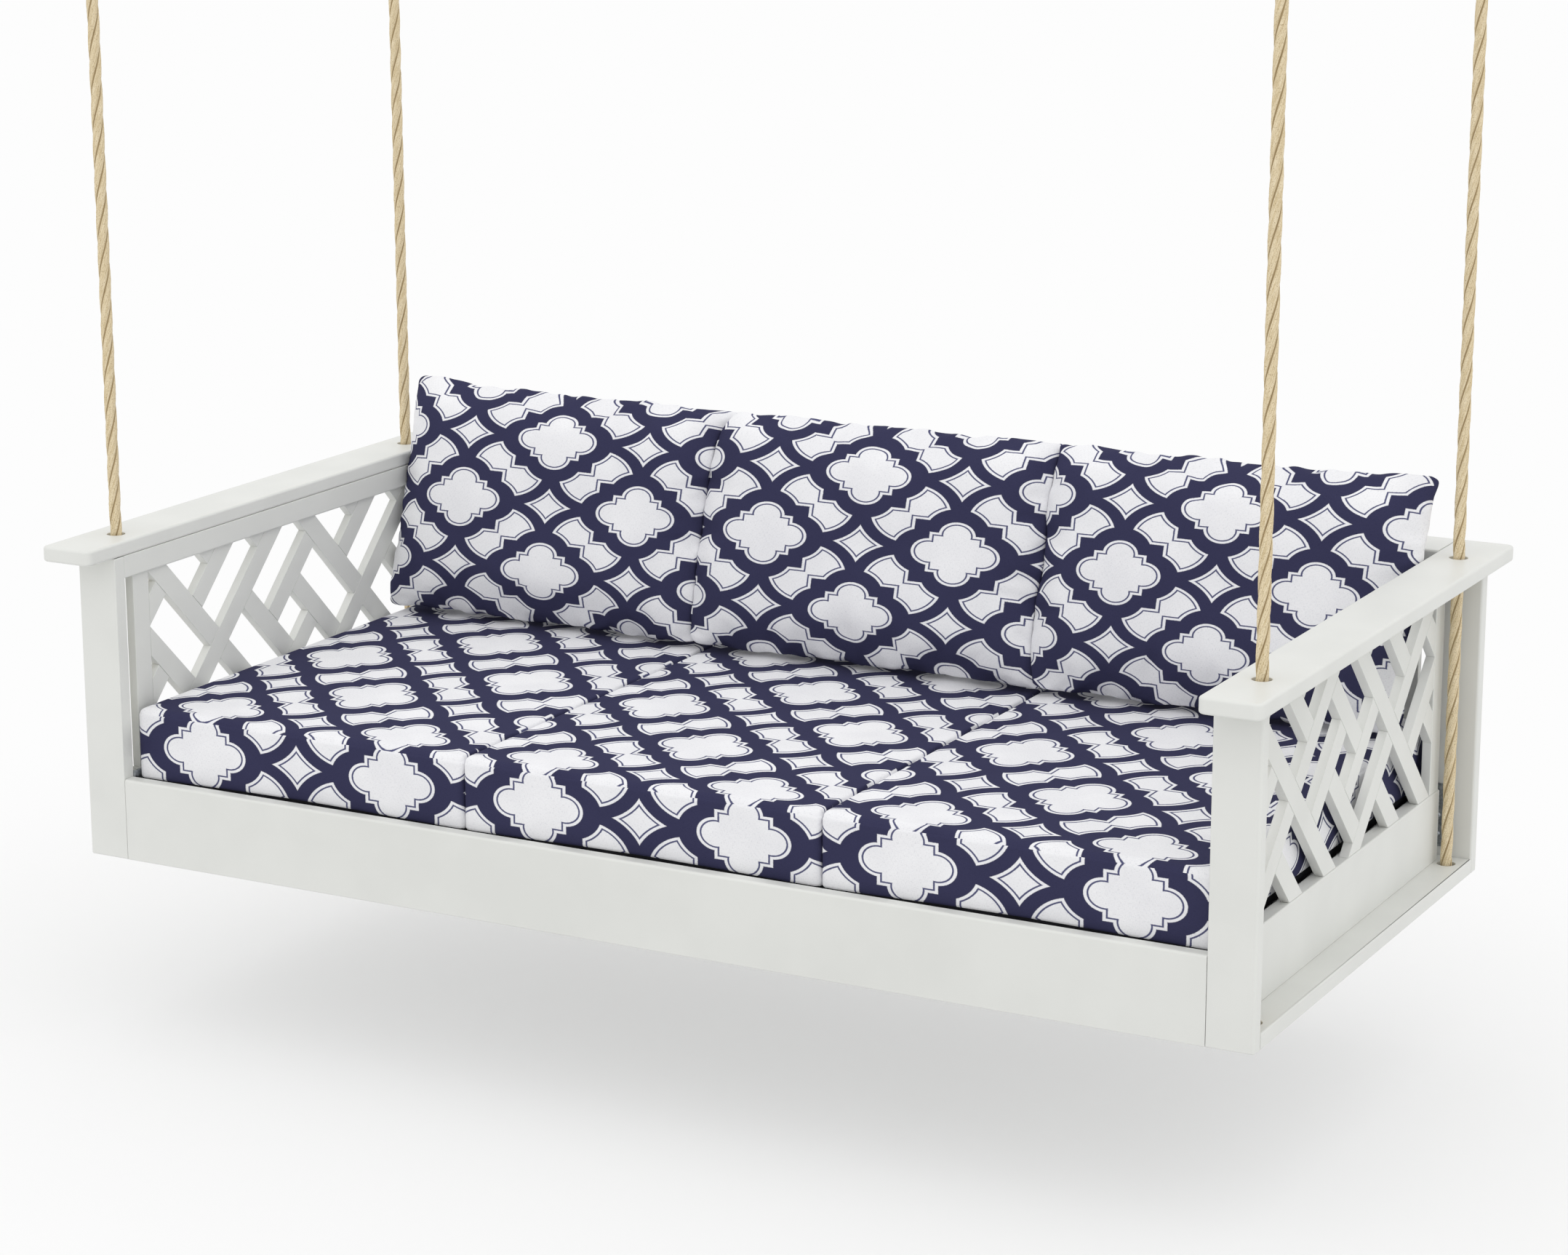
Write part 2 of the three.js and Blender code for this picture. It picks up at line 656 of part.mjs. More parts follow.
/** The bolt through a hanger's ears, with its head and nut. */
function hangerBolt() {
  const grip = thimbleWidth / 2 + thimbleSideGap + earThickness + runningGap;
  const [shank, head] = [boltDiameter / 2, boltHeadDiameter / 2];
  const end = grip + boltHeadHeight;
  const profile = [[0, -end], [head, -end], [head, -grip], [shank, -grip], [shank, grip], [head, grip],
    [head, end], [0, end]].map(([r, x]) => new THREE.Vector2(r, x));
  return new THREE.LatheGeometry(profile, roundSides).rotateZ(Math.PI / 2).translate(0, 0, boltZ);
}

/** The four ropes, their hangers above and their stops below. */
function suspension() {
  const group = new THREE.Group();
  for (const [side, x] of [["left", -ropeX], ["right", ropeX]]) {
    for (const [end, y] of [["front", ropeFromEnd], ["rear", frameDepth - ropeFromEnd]]) {
      const name = `${end}_${side}`;
      const corner = new THREE.Group();
      corner.position.set(x, y, 0);
      corner.add(
        piece(`hanger_${name}`, hanger(), steel),
        piece(`hanger_bolt_${name}`, hangerBolt(), steel),
        piece(`thimble_${name}`, thimble(), steel),
        piece(`rope_${name}`, upperRope(), hemp),
        piece(`rope_${name}_lower`, lowerRope(), hemp),
        piece(`rope_stop_${name}`, ropeStop(), steel),
      );
      group.add(corner);
    }
  }
  return group;
}

// ---------------------------------------------------------------- the swing

/** The right end is the left one turned half round about the seat's middle. */
function rightEndPanel() {
  const panel = endPanel("right", "rear", "front");
  panel.rotation.z = Math.PI;
  panel.position.y = frameDepth;
  return panel;
}

const swing = new THREE.Group();
swing.add(
  endPanel("left", "front", "rear"),
  rightEndPanel(),
  frontRail(),
  backPanel(),
  seatDeck(),
  cushions(),
  suspension(),
);
swing.position.set(0, -frameDepth / 2, -ceilingHeight);

export default swing;
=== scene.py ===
"""A three-place porch swing seat on four ropes, dressed for a studio picture.

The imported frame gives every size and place. Its wood is made again with eased edges, its cushions
are sewn and inflated, its ropes are laid in three strands and its hangers are turned and drilled.
"""
from __future__ import annotations

import json
import logging
import math
from dataclasses import dataclass, field
from enum import Enum
from typing import Any, Mapping, Sequence

import bmesh
import bpy
import numpy as np
from mathutils import Matrix, Vector
from mathutils.geometry import tessellate_polygon

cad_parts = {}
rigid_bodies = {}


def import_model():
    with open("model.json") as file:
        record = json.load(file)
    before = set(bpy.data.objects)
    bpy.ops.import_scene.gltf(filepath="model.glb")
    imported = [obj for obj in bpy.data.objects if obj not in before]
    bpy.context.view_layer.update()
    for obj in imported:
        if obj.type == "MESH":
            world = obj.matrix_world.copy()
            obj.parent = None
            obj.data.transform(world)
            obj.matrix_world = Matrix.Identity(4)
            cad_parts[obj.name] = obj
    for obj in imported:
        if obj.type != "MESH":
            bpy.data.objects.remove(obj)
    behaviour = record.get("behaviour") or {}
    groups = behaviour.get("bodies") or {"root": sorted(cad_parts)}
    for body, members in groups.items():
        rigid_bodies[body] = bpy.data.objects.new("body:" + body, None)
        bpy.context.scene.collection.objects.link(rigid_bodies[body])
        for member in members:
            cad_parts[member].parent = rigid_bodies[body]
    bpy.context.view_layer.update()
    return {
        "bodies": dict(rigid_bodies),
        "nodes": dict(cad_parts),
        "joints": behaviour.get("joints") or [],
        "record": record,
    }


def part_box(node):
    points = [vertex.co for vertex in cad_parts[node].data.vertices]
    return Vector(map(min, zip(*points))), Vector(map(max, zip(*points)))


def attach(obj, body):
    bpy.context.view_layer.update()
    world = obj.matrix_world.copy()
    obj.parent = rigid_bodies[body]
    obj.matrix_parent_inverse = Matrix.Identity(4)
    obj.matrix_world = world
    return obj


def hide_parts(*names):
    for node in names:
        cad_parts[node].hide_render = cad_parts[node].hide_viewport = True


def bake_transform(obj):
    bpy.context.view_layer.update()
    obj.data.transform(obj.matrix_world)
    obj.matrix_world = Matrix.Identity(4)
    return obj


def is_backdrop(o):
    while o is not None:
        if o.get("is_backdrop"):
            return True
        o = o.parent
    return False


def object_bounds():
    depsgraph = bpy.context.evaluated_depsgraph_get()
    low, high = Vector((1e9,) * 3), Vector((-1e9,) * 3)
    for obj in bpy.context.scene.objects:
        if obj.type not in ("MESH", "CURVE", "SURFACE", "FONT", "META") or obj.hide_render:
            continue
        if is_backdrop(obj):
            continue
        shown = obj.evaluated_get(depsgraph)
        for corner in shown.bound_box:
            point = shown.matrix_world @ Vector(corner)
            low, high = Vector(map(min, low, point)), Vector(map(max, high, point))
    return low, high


MM = 0.001
LOG = logging.getLogger("porch_swing")

Array = np.ndarray
Piece = bpy.types.Object
Material = bpy.types.Material
Colour = tuple[float, float, float, float]
Faces = list[tuple[int, ...]]
Stations = tuple[tuple[float, float], ...]


# ---- shader arithmetic


def colour(red: int, green: int, blue: int) -> Colour:
    """Turns a colour of 0 to 255 as seen on a screen into the linear one that shaders use.

    Args:
        red, green, blue: the screen colour's parts.

    Returns:
        The linear colour, with an alpha of 1.
    """
    def linear(part: int) -> float:
        """Undoes the screen's gamma on one part."""
        share = part / 255
        return share / 12.92 if share <= 0.04045 else ((share + 0.055) / 1.055) ** 2.4
    return linear(red), linear(green), linear(blue), 1.0


def grey(level: float) -> Colour:
    """A linear grey."""
    return level, level, level, 1.0


WHITE = grey(1.0)


class Signal:
    """A number or colour on its way through a material, joined by Python's operators."""

    def __init__(self, recipe: Recipe, socket: bpy.types.NodeSocket) -> None:
        """Wraps an output socket of a node of the recipe."""
        self.recipe = recipe
        self.socket = socket

    def math(self, operation: str, *terms: Signal | float) -> Signal:
        """This signal led, with further terms, through one Math node."""
        inputs = dict(enumerate((self, *terms)))
        return self.recipe.add("ShaderNodeMath", {"operation": operation}, inputs)

    def __add__(self, other: Signal | float) -> Signal:
        """Sum."""
        return self.math("ADD", other)

    __radd__ = __add__

    def __sub__(self, other: Signal | float) -> Signal:
        """Difference."""
        return self.math("SUBTRACT", other)

    def __rsub__(self, other: float) -> Signal:
        """Difference from a number on the left."""
        return (self * -1.0) + other

    def __mul__(self, other: Signal | float) -> Signal:
        """Product."""
        return self.math("MULTIPLY", other)

    __rmul__ = __mul__

    def greater(self, other: Signal | float) -> Signal:
        """The greater of two signals."""
        return self.math("MAXIMUM", other)

    def lesser(self, other: Signal | float) -> Signal:
        """The lesser of two signals."""
        return self.math("MINIMUM", other)

    def above(self, level: Signal | float) -> Signal:
        """1 where the signal is over a level, and 0 elsewhere."""
        return self.math("GREATER_THAN", level)

    def rise(self, start: float, end: float) -> Signal:
        """Goes smoothly from 0 at start to 1 at end.

        Args:
            start: the signal's value where the result leaves 0.
            end: the signal's value where the result reaches 1.

        Returns:
            The smooth step.
        """
        settings = {"interpolation_type": "SMOOTHSTEP"}
        inputs = {"Value": self, "From Min": start, "From Max": end, "To Min": 0.0, "To Max": 1.0}
        return self.recipe.add("ShaderNodeMapRange", settings, inputs)

    def blend(self, low: Signal | Colour, high: Signal | Colour) -> Signal:
        """A colour mixed by this signal, from low at 0 to high at 1."""
        settings = {"data_type": "RGBA", "blend_type": "MIX"}
        return self.recipe.add("ShaderNodeMix", settings, {0: self, 6: low, 7: high}, out=2)


def span(first: Signal, second: Signal) -> Signal:
    """The length of a flat vector: the root of the sum of its parts' squares."""
    return (first * first + second * second).math("SQRT")


class Recipe:
    """A material or sky under construction, whose nodes all come from add()."""

    def __init__(self, owner: Material | bpy.types.World) -> None:
        """Starts with no nodes.

        Args:
            owner: the new material or world.
        """
        owner.use_nodes = True
        self.owner = owner
        self.tree = owner.node_tree
        self.tree.nodes.clear()

    @classmethod
    def named(cls, name: str) -> Recipe:
        """Starts a new material of that name."""
        return cls(bpy.data.materials.new(name))

    def add(self, kind: str, settings: Mapping[str, Any] | None = None,
            inputs: Mapping[int | str, Any] | None = None, out: int | str = 0) -> Signal:
        """Adds a node, sets it and joins its inputs.

        Args:
            kind: the node's type.
            settings: its settings, such as a Math node's operation, which are set first.
            inputs: a value or a signal for each of its sockets, by name or number.
            out: the output to go on with.

        Returns:
            The output as a signal.
        """
        node = self.tree.nodes.new(kind)
        for key, value in (settings or {}).items():
            setattr(node, key, value)
        for key, value in (inputs or {}).items():
            if isinstance(value, Signal):
                self.tree.links.new(value.socket, node.inputs[key])
            else:
                node.inputs[key].default_value = value
        return Signal(self, node.outputs[out])

    def finish(self, inputs: Mapping[str, Any]) -> Material:
        """Ends the material in a Principled shader with these values or signals on its sockets."""
        return self.end_in(self.add("ShaderNodeBsdfPrincipled", {}, inputs))

    def end_in(self, surface: Signal) -> Material | bpy.types.World:
        """Leads a shader to the output.

        Args:
            surface: the shader.

        Returns:
            The material or world.
        """
        kind = "World" if isinstance(self.owner, bpy.types.World) else "Material"
        output = self.tree.nodes.new(f"ShaderNodeOutput{kind}")
        self.tree.links.new(surface.socket, output.inputs["Surface"])
        return self.owner

    def stretched(self, place: Signal, stretch: Sequence[float]) -> Signal:
        """A place times a stretch along each axis."""
        inputs = {0: place, 1: tuple(stretch)}
        return self.add("ShaderNodeVectorMath", {"operation": "MULTIPLY"}, inputs)

    def places(self, stretch: Sequence[float] = (1, 1, 1)) -> Signal:
        """The place on the piece, in metres, times a stretch along each axis."""
        return self.stretched(self.add("ShaderNodeTexCoord", {}, {}, out="Object"), stretch)

    def map(self, name: str) -> Signal:
        """The piece's UV map of that name."""
        return self.add("ShaderNodeUVMap", {"uv_map": name})

    def tinted(self, share: float, shade: Signal, tint: Signal) -> Signal:
        """A colour multiplied by a tint, of which a share shows."""
        settings = {"data_type": "RGBA", "blend_type": "MULTIPLY"}
        return self.add("ShaderNodeMix", settings, {0: share, 6: shade, 7: tint}, out=2)

    def noise(self, place: Signal, scale: float, detail: float = 3.0, rough: float = 0.5) -> Signal:
        """Soft noise about one half, of so many features to the metre and so many octaves."""
        inputs = {"Vector": place, "Scale": scale, "Detail": detail, "Roughness": rough}
        return self.add("ShaderNodeTexNoise", {}, inputs)

    def bump(self, height: Signal, depth: float, strength: float = 1.0) -> Signal:
        """A normal bumped by a height from 0 to 1, of a depth in metres."""
        inputs = {"Height": height, "Distance": depth, "Strength": strength}
        return self.add("ShaderNodeBump", {}, inputs)


# ---- finishes


class Grain(Enum):
    """Which way a board's grain runs: how fine the relief is on each axis."""

    ALONG_X = (0.06, 1.0, 1.0)
    ALONG_Y = (1.0, 0.06, 1.0)
    ALONG_Z = (1.0, 1.0, 0.06)
    NONE = (1.0, 1.0, 1.0)


@dataclass(frozen=True)
class SatinPaint:
    """White satin paint, brushed along the grain of a planed board."""

    base: Colour = colour(224, 225, 221)
    shade: Colour = colour(220, 221, 217)
    cloud_scale: float = 7.0
    least_roughness: float = 0.38
    more_roughness: float = 0.08
    brush_scale: float = 420.0
    brush_depth: float = 0.05 * MM

    def make(self, grain: Grain) -> Material:
        """Mixes the paint for boards whose grain runs one way.

        Args:
            grain: the way.

        Returns:
            The material.
        """
        recipe = Recipe.named(f"satin_paint_{grain.name.lower()}")
        brushed = recipe.noise(recipe.places(grain.value), self.brush_scale, 4.0, 0.6)
        cloudy = recipe.noise(recipe.places(), self.cloud_scale, 2.0)
        return recipe.finish({
            "Base Color": cloudy.rise(0.3, 0.7).blend(self.shade, self.base),
            "Roughness": brushed * self.more_roughness + self.least_roughness,
            "Specular IOR Level": 0.4,
            "Normal": recipe.bump(brushed, self.brush_depth, 0.5),
        })


@dataclass(frozen=True)
class TrellisCloth:
    """Outdoor canvas with a quatrefoil trellis woven in navy on white, outlined by a fine line.

    The print repeats every two half periods each way, and each half period mirrors the last. In
    one cell, p and q are folded to an eighth in which 0 <= q <= p and p + q <= 1. A quatrefoil sits
    on the corner p = q = 0, a star on p = 1, q = 0, and a petal on p = q = 1/2.
    """

    white: Colour = colour(241, 241, 243)
    navy: Colour = colour(57, 57, 85)
    line: Colour = colour(82, 84, 118)
    lobe_centre: float = 0.262
    lobe_radius: float = 0.185
    body_reach: float = 0.277
    band_centre: float = 0.31
    band_radius: float = 0.32
    band_reach: float = 0.44
    petal_radius: float = 0.415
    star_radius: float = 0.552
    star_reach: float = 0.6
    line_start: float = 0.029
    line_end: float = 0.046
    soft: float = 0.004
    ragged: float = 0.012
    thread_scale: float = 1300.0
    thread_stretch: float = 0.16
    thread_depth: float = 0.3 * MM
    slub: Colour = colour(214, 214, 218)
    slub_share: float = 0.5
    wear: Colour = colour(246, 246, 247)
    wear_scale: float = 9.0
    least_roughness: float = 0.88
    more_roughness: float = 0.1

    def _motif_distance(self, recipe: Recipe) -> Signal:
        """How far a place lies inside the white motifs, in half periods; below 0 in the navy.

        Args:
            recipe: the material, whose mesh has a UV map named print.

        Returns:
            The distance.
        """
        across = recipe.add("ShaderNodeSeparateXYZ", {}, {0: recipe.map("print")}, out=0)
        up = Signal(recipe, across.socket.node.outputs[1])
        fold_x = across.math("PINGPONG", 1.0)
        fold_y = up.math("PINGPONG", 1.0)
        over = (fold_x + fold_y).above(1.0)
        turned_x = fold_x + over * (1.0 - 2.0 * fold_x)
        turned_y = fold_y + over * (1.0 - 2.0 * fold_y)
        p = turned_x.greater(turned_y)
        q = turned_x.lesser(turned_y)
        motif = (self.body_reach - p).greater(self.lobe_radius - span(p - self.lobe_centre, q))
        outside = (p - self.band_reach).lesser(span(p - self.band_centre, q) - self.band_radius)
        from_petal = span(p - 0.5, q - 0.5)
        petal = (self.petal_radius - from_petal).lesser(outside)
        star = (from_petal - self.star_radius).lesser(p - q - self.star_reach)
        return motif.greater(petal).greater(star)

    def make(self) -> Material:
        """Weaves the cloth.

        Returns:
            The material, which reads the UV maps print, in half periods, and thread, in metres.
        """
        recipe = Recipe.named("trellis_cloth")
        thread = recipe.map("thread")
        thin = self.thread_stretch
        warp = recipe.noise(recipe.stretched(thread, (1, thin, 1)), self.thread_scale, 2.0)
        weft = recipe.noise(recipe.stretched(thread, (thin, 1, 1)), self.thread_scale, 2.0)
        weave = (warp + weft) * 0.5
        inside = self._motif_distance(recipe) + (weave - 0.5) * self.ragged
        white_share = inside.rise(-self.soft, self.soft)
        line_share = (inside.rise(self.line_start - self.soft, self.line_start + self.soft)
                      * (1.0 - inside.rise(self.line_end - self.soft, self.line_end + self.soft)))
        worn = recipe.noise(thread, self.wear_scale, 2.0).rise(0.25, 0.75).blend(self.wear, WHITE)
        slubbed = weave.rise(0.34, 0.5).blend(self.slub, WHITE)
        lined = line_share.blend(white_share.blend(self.navy, self.white), self.line)
        return recipe.finish({
            "Base Color": recipe.tinted(1.0, recipe.tinted(self.slub_share, lined, slubbed), worn),
            "Roughness": weave * self.more_roughness + self.least_roughness,
            "Specular IOR Level": 0.08,
            "Normal": recipe.bump(weave, self.thread_depth, 0.6),
        })


@dataclass(frozen=True)
class LaidRope:
    """Unbleached three-strand rope, whose yarns run along its strands, with painted shade in its
    grooves.
    """

    fair: Colour = colour(239, 225, 195)
    tan: Colour = colour(218, 200, 163)
    dark: Colour = colour(168, 147, 110)
    # Painted shade: the grooves between the strands are darkened in colour.
    groove: Colour = colour(164, 143, 107)
    groove_start: float = math.radians(44)
    groove_end: float = math.radians(58)
    patch: Colour = colour(238, 234, 226)
    patch_scale: float = 14.0
    yarn_scale: float = 420.0
    yarn_stretch: tuple[float, float, float] = (0.012, 0.1, 1.0)
    fibre_scale: float = 620.0
    fibre_stretch: tuple[float, float, float] = (0.012, 0.6, 1.0)
    relief: float = 0.8 * MM

    def make(self) -> Material:
        """Lays the yarns.

        Returns:
            The material, which reads the UV map yarn: around the rope in turns of the strands,
            and along it in metres.
        """
        recipe = Recipe.named("laid_rope")
        yarn = recipe.map("yarn")
        yarns = recipe.noise(recipe.stretched(yarn, self.yarn_stretch), self.yarn_scale, 3.0, 0.6)
        fibres = recipe.noise(recipe.stretched(yarn, self.fibre_stretch), self.fibre_scale, 3.0,
                              0.7)
        patches = recipe.noise(yarn, self.patch_scale, 2.0).rise(0.3, 0.7).blend(self.patch, WHITE)
        around = recipe.add("ShaderNodeSeparateXYZ", {}, {0: yarn}, out=0)
        from_crest = around.math("PINGPONG", math.pi / 3)
        shade = yarns.rise(0.35, 0.62).blend(self.tan, self.fair)
        # Painted shade, darkest in each groove between the strands.
        groove_shaded = from_crest.rise(self.groove_start, self.groove_end).blend(shade, self.groove)
        speckled = fibres.rise(0.34, 0.46).blend(self.dark, groove_shaded)
        return recipe.finish({
            "Base Color": recipe.tinted(1.0, speckled, patches),
            "Roughness": 0.95,
            "Specular IOR Level": 0.1,
            "Normal": recipe.bump(yarns * 0.6 + fibres * 0.4, self.relief, 0.8),
        })


@dataclass(frozen=True)
class ZincSteel:
    """Zinc-plated steel, cloudy and lightly brushed."""

    bright: Colour = colour(198, 202, 206)
    dull: Colour = colour(150, 155, 161)

    def make(self) -> Material:
        """Plates the steel.

        Returns:
            The material.
        """
        recipe = Recipe.named("zinc_steel")
        spangle = recipe.noise(recipe.places(), 180.0, 3.0)
        scratches = recipe.noise(recipe.places((1.0, 1.0, 0.05)), 1500.0, 2.0)
        return recipe.finish({
            "Base Color": spangle.rise(0.3, 0.7).blend(self.dull, self.bright),
            "Metallic": 0.95,
            "Roughness": spangle * 0.2 + 0.26,
            "Normal": recipe.bump(scratches, 0.03 * MM, 0.4),
        })


@dataclass(frozen=True)
class WhippingTwine:
    """Waxed tan twine round the rope's eye."""

    light: Colour = colour(206, 188, 150)
    deep: Colour = colour(160, 138, 100)

    def make(self) -> Material:
        """Waxes the twine.

        Returns:
            The material.
        """
        recipe = Recipe.named("whipping_twine")
        fibres = recipe.noise(recipe.places((0.4, 0.4, 1.0)), 1800.0, 3.0)
        return recipe.finish({
            "Base Color": fibres.rise(0.35, 0.65).blend(self.deep, self.light),
            "Roughness": 0.7,
            "Normal": recipe.bump(fibres, 0.2 * MM, 0.8),
        })


@dataclass(frozen=True)
class BackingCloth:
    """Near-black cloth under the seat cushions: painted shade for the gaps by the rails."""

    dark: Colour = colour(30, 30, 34)
    light: Colour = colour(42, 42, 46)

    def make(self) -> Material:
        """Weaves the cloth.

        Returns:
            The material.
        """
        recipe = Recipe.named("backing_cloth")
        threads = recipe.noise(recipe.places(), 900.0, 2.0, 0.6)
        return recipe.finish({
            "Base Color": threads.rise(0.3, 0.7).blend(self.dark, self.light),
            "Roughness": 0.95,
            "Specular IOR Level": 0.05,
            "Normal": recipe.bump(threads, 0.3 * MM, 0.6),
        })


@dataclass
class Finishes:
    """The materials that the pieces share."""

    paint: dict[Grain, Material] = field(
        default_factory=lambda: {grain: SatinPaint().make(grain) for grain in Grain})
    cloth: Material = field(default_factory=TrellisCloth().make)
    # The seat cushions' bottoms: near-black painted shade for the gaps by the rails.
    backing: Material = field(default_factory=BackingCloth().make)
    rope: Material = field(default_factory=LaidRope().make)
    steel: Material = field(default_factory=ZincSteel().make)
    twine: Material = field(default_factory=WhippingTwine().make)


# ---- meshes


class Axis(Enum):
    """An axis that a shape is carried along; its value puts u, v and w on x, y and z."""

    X = (2, 0, 1)
    Y = (1, 2, 0)
    Z = (0, 1, 2)


@dataclass
class Surface:
    """Points and faces on their way to a mesh."""

    points: Array
    faces: Faces

    def along(self, axis: Axis) -> Surface:
        """A shape carried along w, turned so that it runs along an axis."""
        return Surface(self.points[:, list(axis.value)], self.faces)

    def moved(self, offset: Sequence[float]) -> Surface:
        """The shape moved by an offset."""
        return Surface(self.points + np.asarray(offset, float), self.faces)

    @staticmethod
    def joined(shapes: Sequence[Surface]) -> Surface:
        """Several shapes as one.

        Args:
            shapes: the shapes.

        Returns:
            One shape with all their points and faces.
        """
        counts = np.cumsum([0] + [len(shape.points) for shape in shapes])
        faces = [tuple(int(k + start) for k in face)
                 for shape, start in zip(shapes, counts) for face in shape.faces]
        return Surface(np.concatenate([shape.points for shape in shapes]), faces)


def new_piece(name: str, surface: Surface, material: Material) -> Piece:
    """Puts a surface in a new object at the origin.

    Args:
        name: the piece's name.
        surface: its points and faces.
        material: its finish.

    Returns:
        The object.
    """
    mesh = bpy.data.meshes.new(name)
    mesh.from_pydata(surface.points.tolist(), [], surface.faces)
    mesh.materials.append(material)
    mesh.update()
    piece = bpy.data.objects.new(name, mesh)
    bpy.context.scene.collection.objects.link(piece)
    LOG.info("%s: %d faces", name, len(surface.faces))
    return piece


def box_of(node: str) -> tuple[Array, Array]:
    """The low and high corners of a frame node's box."""
    low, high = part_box(node)
    return np.array(low), np.array(high)


def shade_smooth(piece: Piece, sharp: float | None = None) -> None:
    """Shades smooth.

    Args:
        piece: the piece.
        sharp: edges sharper than this angle stay sharp, or None for no sharp edge.
    """
    piece.data.polygons.foreach_set("use_smooth", np.ones(len(piece.data.polygons), bool))
    if sharp is not None:
        piece.data.set_sharp_from_angle(angle=sharp)


def shade_by_area(piece: Piece) -> None:
    """Shades smooth, with normals weighted by area so that broad faces stay flat.

    Args:
        piece: the piece.
    """
    shade_smooth(piece, math.radians(40))
    weighting = piece.modifiers.new("even_faces", "WEIGHTED_NORMAL")
    weighting.keep_sharp = True


def smooth_step(share: Array) -> Array:
    """Eases a share from 0 to 1: three times its square less twice its cube."""
    return share * share * (3 - 2 * share)


def end_caps(rows: int, sides: int) -> Faces:
    """The two faces that close a tube of rings: the first ring reversed, and the last."""
    last = (rows - 1) * sides
    return [tuple(range(sides))[::-1], tuple(range(last, last + sides))]


def grid_faces(rows: int, columns: int, wrap: bool = False, start: int = 0) -> Faces:
    """Quads between the points of a grid, whose rows lie one after the other.

    Args:
        rows: the number of rows.
        columns: the number of points in a row.
        wrap: whether the last column joins the first.
        start: the number of the grid's first point.

    Returns:
        The quads, which face along the cross product of the columns' and the rows' directions.
    """
    row = np.arange(rows - 1)[:, None] * columns
    column = np.arange(columns if wrap else columns - 1)[None, :]
    after = (column + 1) % columns
    quads = np.stack([row + column, row + after, row + columns + after, row + columns + column], -1)
    return [tuple(int(k) for k in quad) for quad in quads.reshape(-1, 4) + start]


def rounded_outline(low: Sequence[float], high: Sequence[float], radii: Sequence[float],
                    steps: int = 5) -> Array:
    """A rectangle with a quarter circle in each corner, counter-clockwise.

    Args:
        low: the corner with the least u and v.
        high: the corner with the greatest.
        radii: the corners' radii, from the low corner on, counter-clockwise.
        steps: the points in each quarter circle.

    Returns:
        The outline's points.
    """
    corners = np.array([[low[0], low[1]], [high[0], low[1]], [high[0], high[1]], [low[0], high[1]]])
    inward = np.array([[1, 1], [-1, 1], [-1, -1], [1, -1]])
    turn = np.linspace(0, math.pi / 2, steps)[None, :] + (np.arange(4)[:, None] + 2) * math.pi / 2
    radius = np.asarray(radii, float)[:, None, None]
    centres = corners[:, None, :] + inward[:, None, :] * radius
    points = centres + radius * np.stack([np.cos(turn), np.sin(turn)], -1)
    return points.reshape(-1, 2)


def inset(outline: Array, depth: float) -> Array:
    """Moves each edge of an outline inwards by a depth, so that its corners stay mitred.

    A corner moves along the sum of its two edges' normals, divided by one plus their product.

    Args:
        outline: the points, counter-clockwise, with no two alike.
        depth: the depth.

    Returns:
        The new points.
    """
    ahead = np.roll(outline, -1, axis=0) - outline
    normal = np.stack([-ahead[:, 1], ahead[:, 0]], -1)
    normal /= np.linalg.norm(normal, axis=1)[:, None]
    before = np.roll(normal, 1, axis=0)
    mitre = (normal + before) / (1 + (normal * before).sum(1))[:, None]
    return outline + mitre * depth


@dataclass(frozen=True)
class Hole:
    """A round hole through a board: its centre, and its radius at heights in rising order."""

    centre: tuple[float, float]
    stations: Stations
    sides: int = 48

    @staticmethod
    def straight(radius: float, edge: float, depth: float) -> Stations:
        """Stations of one radius through a depth, with a chamfer at both ends."""
        return (0, radius + edge), (edge, radius), (depth - edge, radius), (depth, radius + edge)

    def rings(self) -> Array:
        """The hole's rings: at each height, points at its radius round its centre.

        Returns:
            The points, in a grid of heights by sides.
        """
        turn = np.arange(self.sides) * 2 * math.pi / self.sides
        height, radius = np.array(self.stations, float).T
        u = self.centre[0] + radius[:, None] * np.cos(turn)
        v = self.centre[1] + radius[:, None] * np.sin(turn)
        return np.stack([u, v, np.broadcast_to(height[:, None], u.shape)], -1)


def cut_board(outline: Array, thickness: float, edge: float, holes: Sequence[Hole] = (),
              arc_steps: int = 4) -> Surface:
    """A flat outline carried through a thickness, with eased edges and holes.

    The wall is a grid: the outline drawn in by edge (1 - sin t) at a depth of edge (1 - cos t)
    from each face, for t from 0 to a right angle, which is a quarter circle.

    Args:
        outline: the outline's points, counter-clockwise.
        thickness: how far it is carried along w.
        edge: the radius of the rounding round both faces.
        holes: the holes through it.
        arc_steps: the points in each rounding.

    Returns:
        The closed shape.
    """
    turn = np.linspace(0, math.pi / 2, arc_steps)
    rise, drawn_in = edge * (1 - np.cos(turn)), edge * (1 - np.sin(turn))
    heights = np.concatenate([rise, (thickness - rise)[::-1]])
    insets = np.concatenate([drawn_in, drawn_in[::-1]])
    rings = np.stack([np.column_stack([inset(outline, d), np.full(len(outline), h)])
                      for h, d in zip(heights, insets)])
    walls = [Surface(rings.reshape(-1, 3), grid_faces(len(rings), len(outline), wrap=True))]
    loops = [(rings[0], rings[-1])]
    for hole in holes:
        bore = hole.rings()
        faces = [face[::-1] for face in grid_faces(len(bore), hole.sides, wrap=True)]
        walls.append(Surface(bore.reshape(-1, 3), faces))
        loops.append((bore[0], bore[-1]))
    starts = np.cumsum([0] + [len(wall.points) for wall in walls])
    lowest = np.concatenate([start + np.arange(len(low)) for (low, _), start in zip(loops, starts)])
    highest = np.concatenate([end - len(high) + np.arange(len(high))
                              for (_, high), end in zip(loops, starts[1:])])
    shape = Surface.joined(walls)
    for numbers, side, facing in ((lowest, 0, -1), (highest, 1, 1)):
        flat = [pair[side][:, :2] for pair in loops]
        shape.faces += cap(flat, numbers, facing)
    return shape


